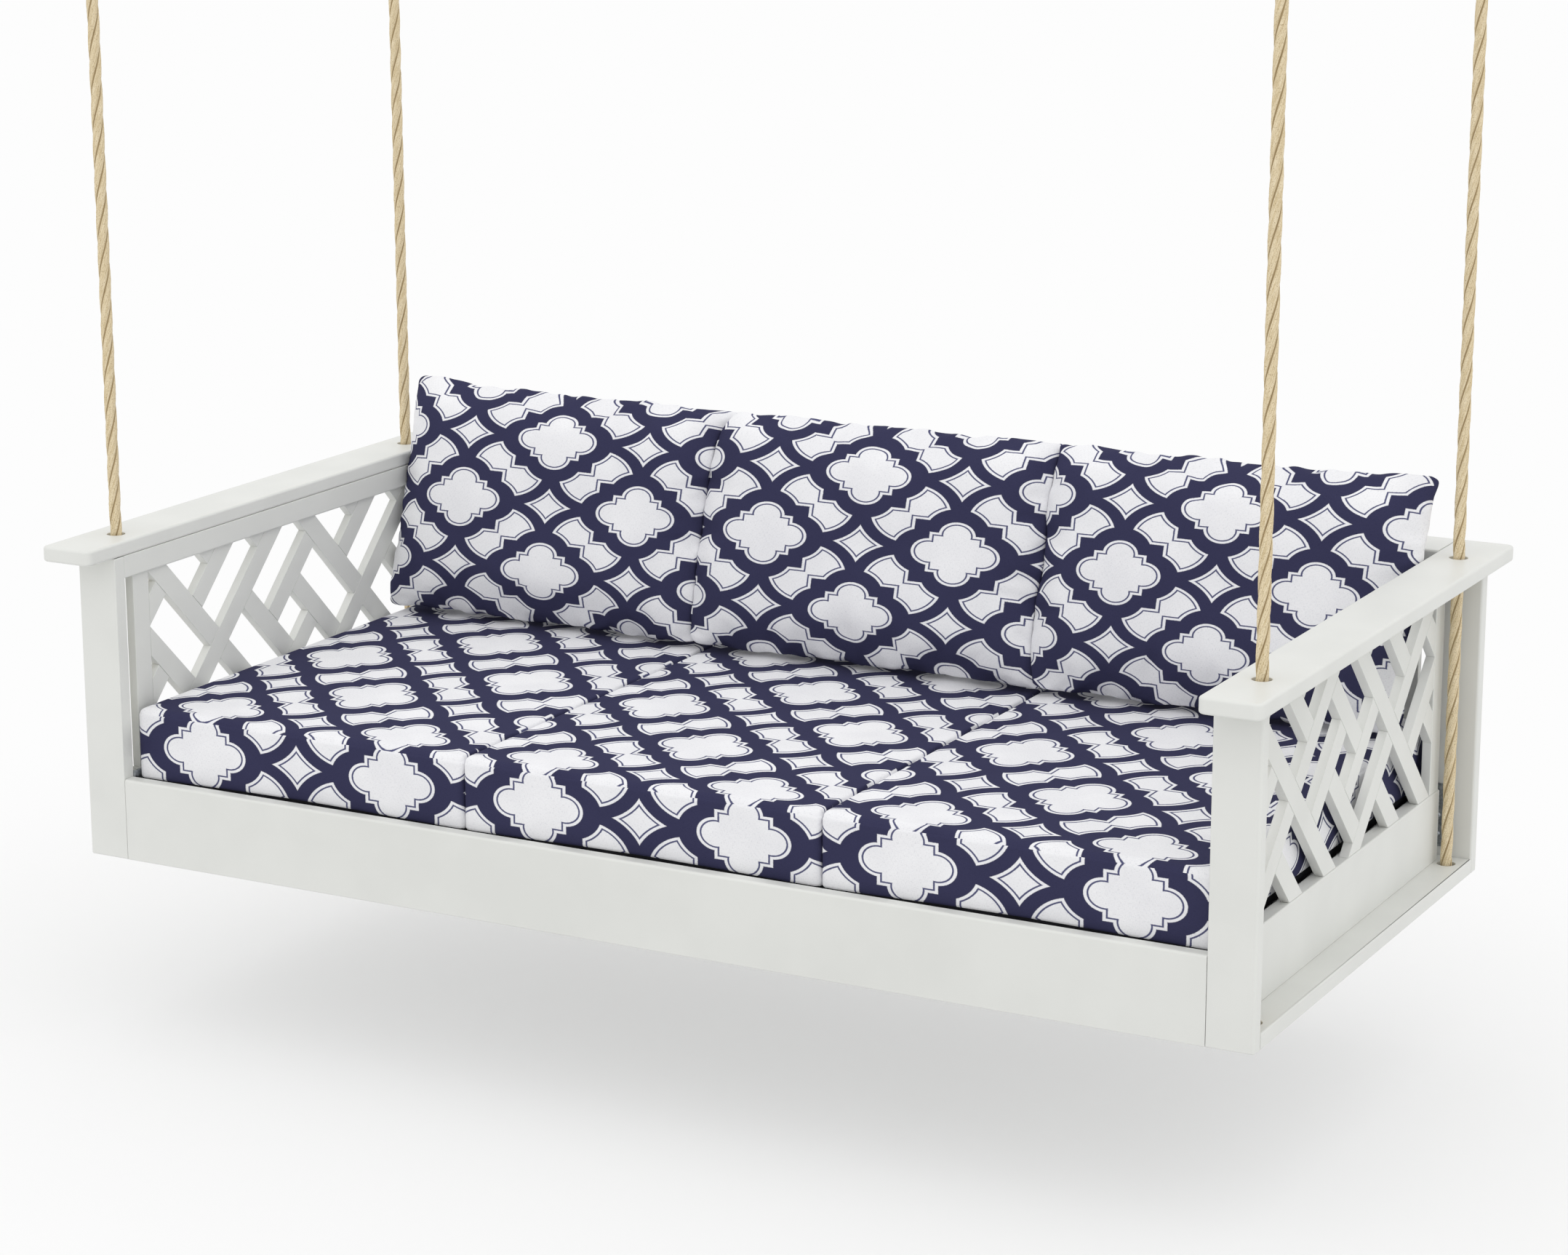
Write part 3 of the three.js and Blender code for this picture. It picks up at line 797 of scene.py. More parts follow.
def cap(loops: Sequence[Array], numbers: Array, facing: int) -> Faces:
    """Fills an outline, less its holes.

    Args:
        loops: the outline and the holes, as flat points.
        numbers: the points' numbers in the mesh, in the loops' order.
        facing: 1 to face along w, and -1 to face against it.

    Returns:
        The faces.
    """
    if len(loops) == 1:
        return [tuple(int(k) for k in numbers[::facing])]
    flat = np.concatenate(loops)
    filled = np.array(tessellate_polygon([[Vector((*p, 0)) for p in loop] for loop in loops]))
    a, b, c = (flat[filled[:, k]] for k in range(3))
    turned = (b - a)[:, 0] * (c - a)[:, 1] - (b - a)[:, 1] * (c - a)[:, 0]
    filled[turned * facing < 0] = filled[turned * facing < 0][:, ::-1]
    return [tuple(int(k) for k in numbers[triangle]) for triangle in filled]


def turned_shape(profile: Sequence[tuple[float, float]], sides: int = 40) -> Surface:
    """A profile turned about the w axis, closed where it meets the axis.

    Args:
        profile: radius and height of each point, so that the shape lies to the left going up.
        sides: the points in each ring.

    Returns:
        The closed shape.
    """
    turn = np.arange(sides) * 2 * math.pi / sides
    radius, height = np.array(profile, float).T
    u = radius[:, None] * np.cos(turn)
    v = radius[:, None] * np.sin(turn)
    points = np.stack([u, v, np.broadcast_to(height[:, None], u.shape)], -1)
    faces = grid_faces(len(profile), sides, wrap=True) + end_caps(len(profile), sides)
    return Surface(points.reshape(-1, 3), faces)


def turned_ring(profile: Sequence[tuple[float, float]], sides: int = 48) -> Surface:
    """A closed profile turned about the w axis into a ring, such as a thimble.

    Args:
        profile: radius and height of each point, counter-clockwise with the axis on the left.
        sides: the points in each ring.

    Returns:
        The closed shape.
    """
    turn = np.arange(sides) * 2 * math.pi / sides
    radius, height = np.array(profile, float).T
    u = radius[:, None] * np.cos(turn)
    v = radius[:, None] * np.sin(turn)
    points = np.stack([u, v, np.broadcast_to(height[:, None], u.shape)], -1).reshape(-1, 3)
    faces = np.array(grid_faces(len(profile) + 1, sides, wrap=True)) % len(points)
    return Surface(points, [tuple(int(k) for k in quad) for quad in faces])


# ---- wood


@dataclass
class Joiner:
    """Cuts, eases and paints boards in the places that the frame gives."""

    finishes: Finishes
    end_edge: float = 0.8 * MM

    def board(self, node: str, axis: Axis, radii: Sequence[float], edge: float | None = None,
              trim: float = 0.0) -> Piece:
        """Makes a node's board with a rounding of its own on each long edge.

        Args:
            node: the node, whose box the board fills.
            axis: the way that the board runs.
            radii: the roundings of its long edges: in its section's u and v, which are y and z for
                a board along x, z and x along y, and x and y along z, from the low corner on.
            edge: the rounding of its ends, or None for the usual one.
            trim: how far it stops short of the box at each end.

        Returns:
            The board.
        """
        low, high = box_of(node)
        back = [axis.value.index(k) for k in range(3)]
        low, high = low[back] + (0, 0, trim), high[back] - (0, 0, trim)
        outline = rounded_outline(low[:2], high[:2], radii)
        shape = cut_board(outline, high[2] - low[2], self.end_edge if edge is None else edge)
        shape = shape.moved((0, 0, low[2])).along(axis)
        grain = {Axis.X: Grain.ALONG_X, Axis.Y: Grain.ALONG_Y, Axis.Z: Grain.ALONG_Z}[axis]
        return self.fit(f"{node}_wood", shape, grain, node)

    def fit(self, name: str, shape: Surface, grain: Grain, *nodes: str) -> Piece:
        """Paints a wooden shape, shades it and puts it on the seat in place of nodes.

        Args:
            name: the piece's name.
            shape: its shape.
            grain: the way its grain runs.
            nodes: the nodes that it stands for.

        Returns:
            The piece.
        """
        piece = new_piece(name, shape, self.finishes.paint[grain])
        shade_by_area(piece)
        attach(piece, "seat")
        if nodes:
            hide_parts(*nodes)
        return piece


class Named(Enum):
    """A choice whose name stands in node names."""

    @property
    def word(self) -> str:
        """The choice's name in node names."""
        return self.name.lower()


class Side(Named):
    """An end of the seat, and the sign of its x."""

    LEFT = -1
    RIGHT = 1


class End(Named):
    """The front or rear of the seat, and the sign of its y from the middle."""

    FRONT = -1
    REAR = 1


@dataclass(frozen=True)
class Corner:
    """One of the seat's four corners, where a rope hangs."""

    end: End
    side: Side

    @property
    def word(self) -> str:
        """The corner's name in node names."""
        return f"{self.end.word}_{self.side.word}"

    def rope_line(self) -> tuple[float, float]:
        """The x and y of its rope, from the middle of the rope's stop under the ledge."""
        x, y, _ = sum(box_of(f"rope_stop_{self.word}")) / 2
        return float(x), float(y)


CORNERS = [Corner(end, side) for side in Side for end in End]


@dataclass
class Lattice:
    """Slats in two directions, woven in a pattern that repeats every three slats each way."""

    pitch: float = 145 * MM
    slat_width: float = 38 * MM
    rising_phase: float = 28.1 * MM
    falling_phase: float = 210.4 * MM
    edge: float = 1.4 * MM
    joint: float = 0.2 * MM

    @staticmethod
    def rising_runs_through(i: int, j: int) -> bool:
        """Whether the rising slat runs through a crossing of classes i and j."""
        return i == 0 or (i, j) in ((1, 0), (2, 2))

    @staticmethod
    def rising_left_out(i: int, j: int) -> bool:
        """Whether the rising slat's stretch after a crossing is left out."""
        return (i, j) in ((1, 1), (2, 0))

    @staticmethod
    def falling_left_out(i: int, j: int) -> bool:
        """Whether the falling slat's stretch after a crossing is left out."""
        return (i, j) in ((0, 0), (2, 2))

    def crossing(self, i: int, j: int) -> Array:
        """Where two slats cross: half their places' sum along, and half their difference up.

        Args:
            i: the rising slat's number.
            j: the falling slat's number.

        Returns:
            The place.
        """
        difference = self.rising_phase + self.pitch * i
        total = self.falling_phase + self.pitch * j
        return np.array([(total + difference) / 2, (total - difference) / 2])

    @staticmethod
    def _clip(outline: Array, normal: Sequence[float], limit: float) -> Array:
        """Keeps what of a convex outline has a product with the normal of at least the limit.

        Args:
            outline: the outline's points.
            normal: the direction that points inside.
            limit: the least product.

        Returns:
            The clipped outline.
        """
        kept: list[Array] = []
        depth = outline @ np.asarray(normal, float) - limit
        for k, (point, here) in enumerate(zip(outline, depth)):
            ahead, there = outline[(k + 1) % len(outline)], depth[(k + 1) % len(outline)]
            if here >= 0:
                kept.append(point)
            if here * there < 0:
                kept.append(point + (ahead - point) * here / (here - there))
        return np.array(kept).reshape(-1, 2)

    def _slat(self, start: Array, end: Array, width: float, height: float) -> list[Array]:
        """The outline of one length of slat, cut to the opening.

        Args:
            start: where its centre line starts.
            end: where it ends.
            width: the opening's width.
            height: the opening's height.

        Returns:
            The outline, or nothing if too little of it lies in the opening.
        """
        along = (end - start) / np.linalg.norm(end - start)
        side = np.array([-along[1], along[0]]) * self.slat_width / 2
        outline = np.array([start - side, end - side, end + side, start + side])
        for normal, limit in (((1, 0), self.joint), ((-1, 0), self.joint - width),
                              ((0, 1), self.joint), ((0, -1), self.joint - height)):
            outline = self._clip(outline, normal, limit)
            if len(outline) < 3:
                return []
        ahead = np.roll(outline, -1, axis=0)
        outline = outline[np.linalg.norm(ahead - outline, axis=1) > 3 * self.edge]
        if len(outline) < 3:
            return []
        ahead = np.roll(outline, -1, axis=0)
        area = (outline[:, 0] * ahead[:, 1] - outline[:, 1] * ahead[:, 0]).sum() / 2
        return [outline] if area > self.slat_width ** 2 / 4 else []

    def outlines(self, width: float, height: float) -> list[Array]:
        """The outlines of all lengths of slat in an opening from (0, 0).

        Args:
            width: the opening's width.
            height: the opening's height.

        Returns:
            The outlines, counter-clockwise.
        """
        reach = 1 + math.ceil((width + height) / self.pitch)
        numbers = range(-reach, reach + 1)
        found: list[Array] = []

        def add_line(points: Sequence[Array], through: Sequence[bool],
                     left_out: Sequence[bool]) -> None:
            """Cuts one slat's line into lengths, from each butt to the next.

            Args:
                points: its crossings, in order.
                through: whether it runs through each.
                left_out: whether its stretch after each is left out.
            """
            start = points[0]
            for k in range(1, len(points)):
                step = points[k] - points[k - 1]
                step *= (self.slat_width / 2 + self.joint) / np.linalg.norm(step)
                if start is not None and not through[k]:
                    found.extend(self._slat(start, points[k] - step, width, height))
                    start = None
                if start is None and not left_out[k]:
                    start = points[k] + step
            if start is not None:
                found.extend(self._slat(start, points[-1], width, height))

        for n in numbers:
            add_line([self.crossing(n, j) for j in numbers],
                     [self.rising_runs_through(n % 3, j % 3) for j in numbers],
                     [self.rising_left_out(n % 3, j % 3) for j in numbers])
            add_line([self.crossing(i, n) for i in numbers],
                     [not self.rising_runs_through(i % 3, n % 3) for i in numbers],
                     [self.falling_left_out(i % 3, n % 3) for i in numbers])
        return found

    def slats(self, width: float, height: float, thickness: float) -> Surface:
        """The slats of an opening as one shape, lying in u and v with their backs at w = 0."""
        return Surface.joined([cut_board(outline, thickness, self.edge, arc_steps=3)
                               for outline in self.outlines(width, height)])


@dataclass
class EndPanels:
    """The two ends: posts, arm boards, ledges, rails and lattice panels."""

    joiner: Joiner
    lattice: Lattice
    eased: float = 4.5 * MM
    tight: float = 1.2 * MM
    arm_corner: float = 13 * MM
    arm_edge: float = 4.5 * MM
    rope_hole: float = 30 * MM
    recess: float = 44 * MM
    recess_depth: float = 14.4 * MM
    hole_edge: float = 0.7 * MM
    post_foot: float = 2.5 * MM
    ledge_edge: float = 3.2 * MM
    rail_edge: float = 3.0 * MM
    stile_width: float = 42 * MM
    slat_thickness: float = 16 * MM

    def build(self) -> None:
        """Builds both ends."""
        for side in Side:
            for end in End:
                self._post(Corner(end, side))
            self._arm(side)
            self._ledge(side)
            self._rails(side)
            self._lattice_panel(side)

    def _post(self, corner: Corner) -> None:
        """Makes a post, whose inner edge butts on the long rail with a fine joint.

        Args:
            corner: its corner.
        """
        radii = [self.eased] * 4
        inner_low, inner_high = (1, 2) if corner.side is Side.LEFT else (0, 3)
        radii[inner_low] = radii[inner_high] = self.tight
        self.joiner.board(f"post_{corner.word}", Axis.Z, radii, self.post_foot)

    @staticmethod
    def _holes(side: Side, stations: Stations) -> list[Hole]:
        """The front and rear rope holes through a board at one end of the seat."""
        return [Hole(Corner(end, side).rope_line(), stations) for end in End]

    def _arm(self, side: Side) -> None:
        """Makes an arm board with rounded corners and a hole for each rope.

        Args:
            side: the left or the right.
        """
        low, high = box_of(f"arm_{side.word}")
        thickness = high[2] - low[2]
        stations = Hole.straight(self.rope_hole / 2, self.hole_edge, thickness)
        outline = rounded_outline(low[:2], high[:2], [self.arm_corner] * 4, 8)
        shape = cut_board(outline, thickness, self.arm_edge, self._holes(side, stations), 6)
        shape = shape.moved((0, 0, low[2]))
        self.joiner.fit(f"arm_{side.word}_wood", shape, Grain.ALONG_Y, f"arm_{side.word}")

    def _ledge(self, side: Side) -> None:
        """Makes a ledge, whose rope holes are bored wider from below for the stops.

        Args:
            side: the left or the right.
        """
        low, high = box_of(f"ledge_{side.word}")
        thickness = high[2] - low[2]
        radius, edge, wide = self.rope_hole / 2, self.hole_edge, self.recess / 2
        stations = ((0, wide + edge), (edge, wide), (self.recess_depth, wide),
                    (self.recess_depth, radius), (thickness - edge, radius),
                    (thickness, radius + edge))
        outline = rounded_outline(low[:2], high[:2], [self.tight] * 4, 3)
        shape = cut_board(outline, thickness, self.ledge_edge, self._holes(side, stations), 5)
        shape = shape.moved((0, 0, low[2]))
        self.joiner.fit(f"ledge_{side.word}_wood", shape, Grain.ALONG_Y, f"ledge_{side.word}")

    def _rails(self, side: Side) -> None:
        """Makes the bottom and top rails of an end.

        Args:
            side: the left or the right.
        """
        soft, tight = self.rail_edge, self.tight
        self.joiner.board(f"end_rail_{side.word}", Axis.Y, [tight, soft, soft, tight])
        self.joiner.board(f"end_top_rail_{side.word}", Axis.Y, [soft, tight, tight, soft])

    def _lattice_panel(self, side: Side) -> None:
        """Makes an end's stiles and slats; the right end is the left one turned half round.

        Args:
            side: the left or the right.
        """
        node = f"end_lattice_{side.word}"
        low, high = box_of(node)
        size = high - low
        stile = rounded_outline((0, 0), (self.slat_thickness, self.stile_width), [self.tight] * 4)
        upright = cut_board(stile, size[2], self.lattice.edge)
        stiles = [upright, upright.moved((0, size[1] - self.stile_width, 0))]
        opening = size[1] - 2 * self.stile_width
        slats = self.lattice.slats(opening, size[2], self.slat_thickness).along(Axis.X)
        panel = Surface.joined([*stiles, slats.moved((0, self.stile_width, 0))])
        if side is Side.RIGHT:
            turned = panel.points * (-1, -1, 1) + (self.slat_thickness, size[1], 0)
            panel = Surface(turned, panel.faces)
        self.joiner.fit(f"{node}_slats", panel.moved(low), Grain.NONE, node)


@dataclass
class LongSides:
    """The front rail, the back rail and the back's cap board and lattice panels."""

    joiner: Joiner
    lattice: Lattice
    eased: float = 4.5 * MM
    tight: float = 1.0 * MM
    foot_edge: float = 1.6 * MM
    top_rail_edge: float = 3.0 * MM
    stile_width: float = 42 * MM
    stile_setback: float = 30.6 * MM
    slat_thickness: float = 16 * MM
    top_rail_height: float = 38 * MM
    setback: float = 1.5 * MM
    butt_edge: float = 0.5 * MM
    butt_gap: float = 0.35 * MM

    def build(self) -> None:
        """Builds the front and the back, with a fine dark joint at the front rail's ends."""
        eased, tight, foot = self.eased, self.tight, self.foot_edge
        self.joiner.board("front_rail", Axis.X, [foot, tight, eased, eased], self.butt_edge,
                          self.butt_gap)
        self.joiner.board("back_rail", Axis.X, [tight, foot, eased, eased], tight)
        self.joiner.board("back_cap", Axis.X, [eased] * 4, tight)
        self._panel()

    def _panel(self) -> None:
        """Makes the back's top rail, its three stiles and the slats of its two openings."""
        low, high = box_of("back_panel")
        rail_low = np.array([low[0], low[1], high[2] - self.top_rail_height])
        soft = self.top_rail_edge
        section = rounded_outline(rail_low[1:], high[1:], [self.tight, soft, soft, self.tight])
        rail = cut_board(section, high[0] - low[0], self.tight).moved((0, 0, low[0])).along(Axis.X)
        self.joiner.fit("back_top_rail_wood", rail, Grain.ALONG_X)

        height = rail_low[2] - low[2]
        back_y = high[1] - self.setback
        stile = rounded_outline((0, -self.slat_thickness), (self.stile_width, 0), [self.tight] * 4)
        upright = cut_board(stile, height, self.lattice.edge)
        edge = high[0] - self.stile_setback
        lefts = [-edge, -self.stile_width / 2, edge - self.stile_width]
        stiles = [upright.moved((x, back_y, low[2])) for x in lefts]
        opening = edge - 1.5 * self.stile_width
        slats = self.lattice.slats(opening, height, self.slat_thickness)
        standing = Surface(slats.points[:, [0, 2, 1]] * (1, -1, 1), slats.faces)
        panels = [standing.moved((x + self.stile_width, back_y, low[2])) for x in lefts[:2]]
        whole = Surface.joined([*stiles, *panels])
        self.joiner.fit("back_lattice_slats", whole, Grain.NONE, "back_panel")


@dataclass
class SeatDeck:
    """The joists and the deck boards under the cushions."""

    joiner: Joiner
    joists: int = 3
    boards: int = 5
    eased: float = 2.5 * MM

    def build(self) -> None:
        """Builds the deck."""
        for k in range(self.joists):
            self.joiner.board(f"joist_{k + 1}", Axis.Y, [self.eased] * 4)
        for k in range(self.boards):
            self.joiner.board(f"deck_board_{k + 1}", Axis.X, [self.eased] * 4)


# ---- ropes and hangers


@dataclass
class Rope:
    """A three-strand rope, from its stop under the ledge to the eye round its thimble."""

    finishes: Finishes
    diameter: float = 20 * MM
    groove_depth: float = 1.9 * MM
    groove_width: float = math.radians(13)
    flattening: float = 0.5 * MM
    fuzz: float = 0.12 * MM
    lay_length: float = 178 * MM
    eye_radius: float = 26 * MM
    throat: float = 78 * MM
    step: float = 5 * MM
    strand_sides: tuple[float, ...] = (-60, -54, -46, -35, -18, 0, 18, 35, 46, 54)

    def _route(self, x: float, y: float, low: float, eye: float) -> Array:
        """The rope's line: straight up, out to the eye's side, over its top and back to the line.

        The throat's two legs leave the straight line by 3 t^2 - 2 t^3 of the eye's radius, where t
        goes from 0 to 1 over the throat, and the eye is half a circle.

        Args:
            x, y: the place of the straight part.
            low: the height of its foot.
            eye: the height of the eye's centre.

        Returns:
            Points a step apart.
        """
        foot = eye - self.throat
        straight = np.linspace(low, foot, round((foot - low) / self.step))
        t = np.linspace(0, 1, round(self.throat / self.step))[1:]
        leg = self.eye_radius * smooth_step(t)
        turn = np.linspace(0, math.pi, round(math.pi * self.eye_radius / self.step))[1:]
        along = np.concatenate([np.zeros(len(straight)), leg, self.eye_radius * np.cos(turn),
                                -leg[-2::-1]])
        height = np.concatenate([straight, foot + self.throat * t,
                                 eye + self.eye_radius * np.sin(turn),
                                 foot + self.throat * t[-2::-1]])
        return np.column_stack([np.full(len(along), x), y + along, height])

    def _section(self, angle: Array) -> Array:
        """The rope's radius at an angle to its first strand.

        Three strands pressed together leave a groove between each two, which deepens by the groove
        depth times e^(-from_groove / groove_width), and each strand is a little flat beside it.

        Args:
            angle: the angles.

        Returns:
            The radii.
        """
        third = 2 * math.pi / 3
        from_groove = third / 2 - np.abs((angle + third / 2) % third - third / 2)
        groove = self.groove_depth * np.exp(-from_groove / self.groove_width)
        return self.diameter / 2 - groove - self.flattening * (1 + np.cos(3 * from_groove)) / 2

    def _surface(self, line: Array) -> tuple[Surface, Array]:
        """The rope's skin, as a grid round and along its line.

        The strands turn once in a lay length. Across the line, one direction is always the x axis,
        because the whole line lies in a plane that x stands square on.

        Args:
            line: the rope's line.

        Returns:
            The closed shape, and the yarn coordinates of its points.
        """
        ahead = np.gradient(line, axis=0)
        ahead /= np.linalg.norm(ahead, axis=1)[:, None]
        sideways = np.tile([1.0, 0.0, 0.0], (len(line), 1))
        upward = np.cross(ahead, sideways)
        length = np.concatenate([[0], np.cumsum(np.linalg.norm(np.diff(line, axis=0), axis=1))])
        strand = np.radians(self.strand_sides) % (2 * math.pi / 3)
        turn = np.concatenate([np.sort(strand) + k * 2 * math.pi / 3 for k in range(3)])
        twist = 2 * math.pi * length / self.lay_length
        draw = np.random.default_rng(round(abs(line[0, 0] * 7 + line[0, 1] * 13) * 1000))
        fuzz = self.fuzz * draw.standard_normal((len(line), len(turn)))
        radius = (self._section(turn)[None, :] + fuzz)[..., None]
        angle = turn[None, :] + twist[:, None]
        ring = (np.cos(angle)[..., None] * sideways[:, None]
                + np.sin(angle)[..., None] * upward[:, None])
        points = line[:, None] + radius * ring
        faces = grid_faces(len(line), len(turn), wrap=True) + end_caps(len(line), len(turn))
        yarn = np.stack(np.broadcast_arrays(turn[None, :], length[:, None]), -1)
        return Surface(points.reshape(-1, 3), faces), yarn.reshape(-1, 2)

    @staticmethod
    def _map_yarns(rope: Piece, faces: Faces, yarn: Array) -> None:
        """Gives the rope its UV map, in which the faces that close the turn end at a full turn.

        Args:
            rope: the rope.
            faces: its faces.
            yarn: the yarn coordinates of its points.
        """
        numbers = np.zeros(len(rope.data.loops), np.int32)
        rope.data.loops.foreach_get("vertex_index", numbers)
        layer = rope.data.uv_layers.new(name="yarn")
        around = yarn[numbers]
        corner = np.concatenate([[k] * len(face) for k, face in enumerate(faces)])
        widest = np.zeros(len(faces))
        np.maximum.at(widest, corner, around[:, 0])
        around[(around[:, 0] == 0) & (widest[corner] > math.pi), 0] = 2 * math.pi
        layer.data.foreach_set("uv", around.astype(np.float32).ravel())

    def build(self, place: Corner) -> None:
        """Args:
            place: its corner.
        """
        name = place.word
        x, y = place.rope_line()
        lower_low, lower_high = box_of(f"rope_{name}_lower")
        eye = sum(box_of(f"thimble_{name}"))[2] / 2
        line = self._route(x, y, lower_low[2], eye)
        surface, yarn = self._surface(line)
        rope = new_piece(f"rope_{name}_laid", surface, self.finishes.rope)
        self._map_yarns(rope, surface.faces, yarn)
        shade_smooth(rope, math.radians(80))
        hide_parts(f"rope_{name}", f"rope_{name}_lower")
        pivot = lower_high[2] + self.diameter / 2
        pivot - self.diameter
        pivot + self.diameter
        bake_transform(rope)


@dataclass
class EyeFittings:
    """The thimble in each rope's eye, and the twine whipped round its throat."""

    finishes: Finishes
    bore: float = 24 * MM
    wall: float = 3.0 * MM
    lip: float = 2.0 * MM
    whipping_turns: int = 9
    whipping_rows: int = 8
    whipping_sides: int = 48
    whipping_fit: float = 0.4 * MM
    twine: float = 2.4 * MM
    whipping_drop: float = 62 * MM

    def build(self, corner: Corner) -> None:
        """Makes one rope's thimble and whipping.

        Args:
            corner: the rope's corner.
        """
        name = corner.word
        low, high = box_of(f"thimble_{name}")
        middle = (low + high) / 2
        half, rim = (high[0] - low[0]) / 2, (high[2] - low[2]) / 2
        inner = self.bore / 2
        turn = np.linspace(0, math.pi, 9)
        groove = [(inner + self.wall + (rim - inner - self.wall) * (1 - math.sin(t)),
                   -(half - self.lip) * math.cos(t)) for t in turn]
        profile = [(inner, half), (inner, -half), (rim, -half), *groove[1:-1], (rim, half)]
        ring = turned_ring(profile).along(Axis.X).moved(middle)
        thimble = new_piece(f"thimble_{name}_ring", ring, self.finishes.steel)
        shade_by_area(thimble)
        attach(thimble, f"rope_{name}_upper")
        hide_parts(f"thimble_{name}")
        self._whipping(name, middle)

    def _whipping(self, name: str, middle: Array) -> None:
        """Makes the twine's turns: an oval round both legs, whose reach ripples with each turn.

        Args:
            name: the rope's corner.
            middle: the middle of the eye.
        """
        rope, sides = Rope(self.finishes), self.whipping_sides
        rows = self.whipping_turns * self.whipping_rows + 1
        height = np.linspace(0, self.whipping_turns * self.twine, rows)
        ripple = np.abs(np.sin(np.pi * height / self.twine)) * self.twine * 0.5
        up_throat = (rope.throat - self.whipping_drop + height) / rope.throat
        apart = rope.eye_radius * smooth_step(up_throat)
        turn = np.arange(sides) * 2 * math.pi / sides
        radius = rope.diameter / 2 + self.whipping_fit + ripple
        x = radius[:, None] * np.cos(turn)
        y = radius[:, None] * np.sin(turn) + apart[:, None] * np.tanh(3 * np.sin(turn))
        z = np.broadcast_to((height - self.whipping_drop)[:, None], x.shape)
        faces = grid_faces(rows, sides, wrap=True) + end_caps(rows, sides)
        shape = Surface(np.stack([x, y, z], -1).reshape(-1, 3) + middle, faces)
        whipping = new_piece(f"whipping_{name}", shape, self.finishes.twine)
        shade_smooth(whipping, math.radians(75))
        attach(whipping, f"rope_{name}_upper")


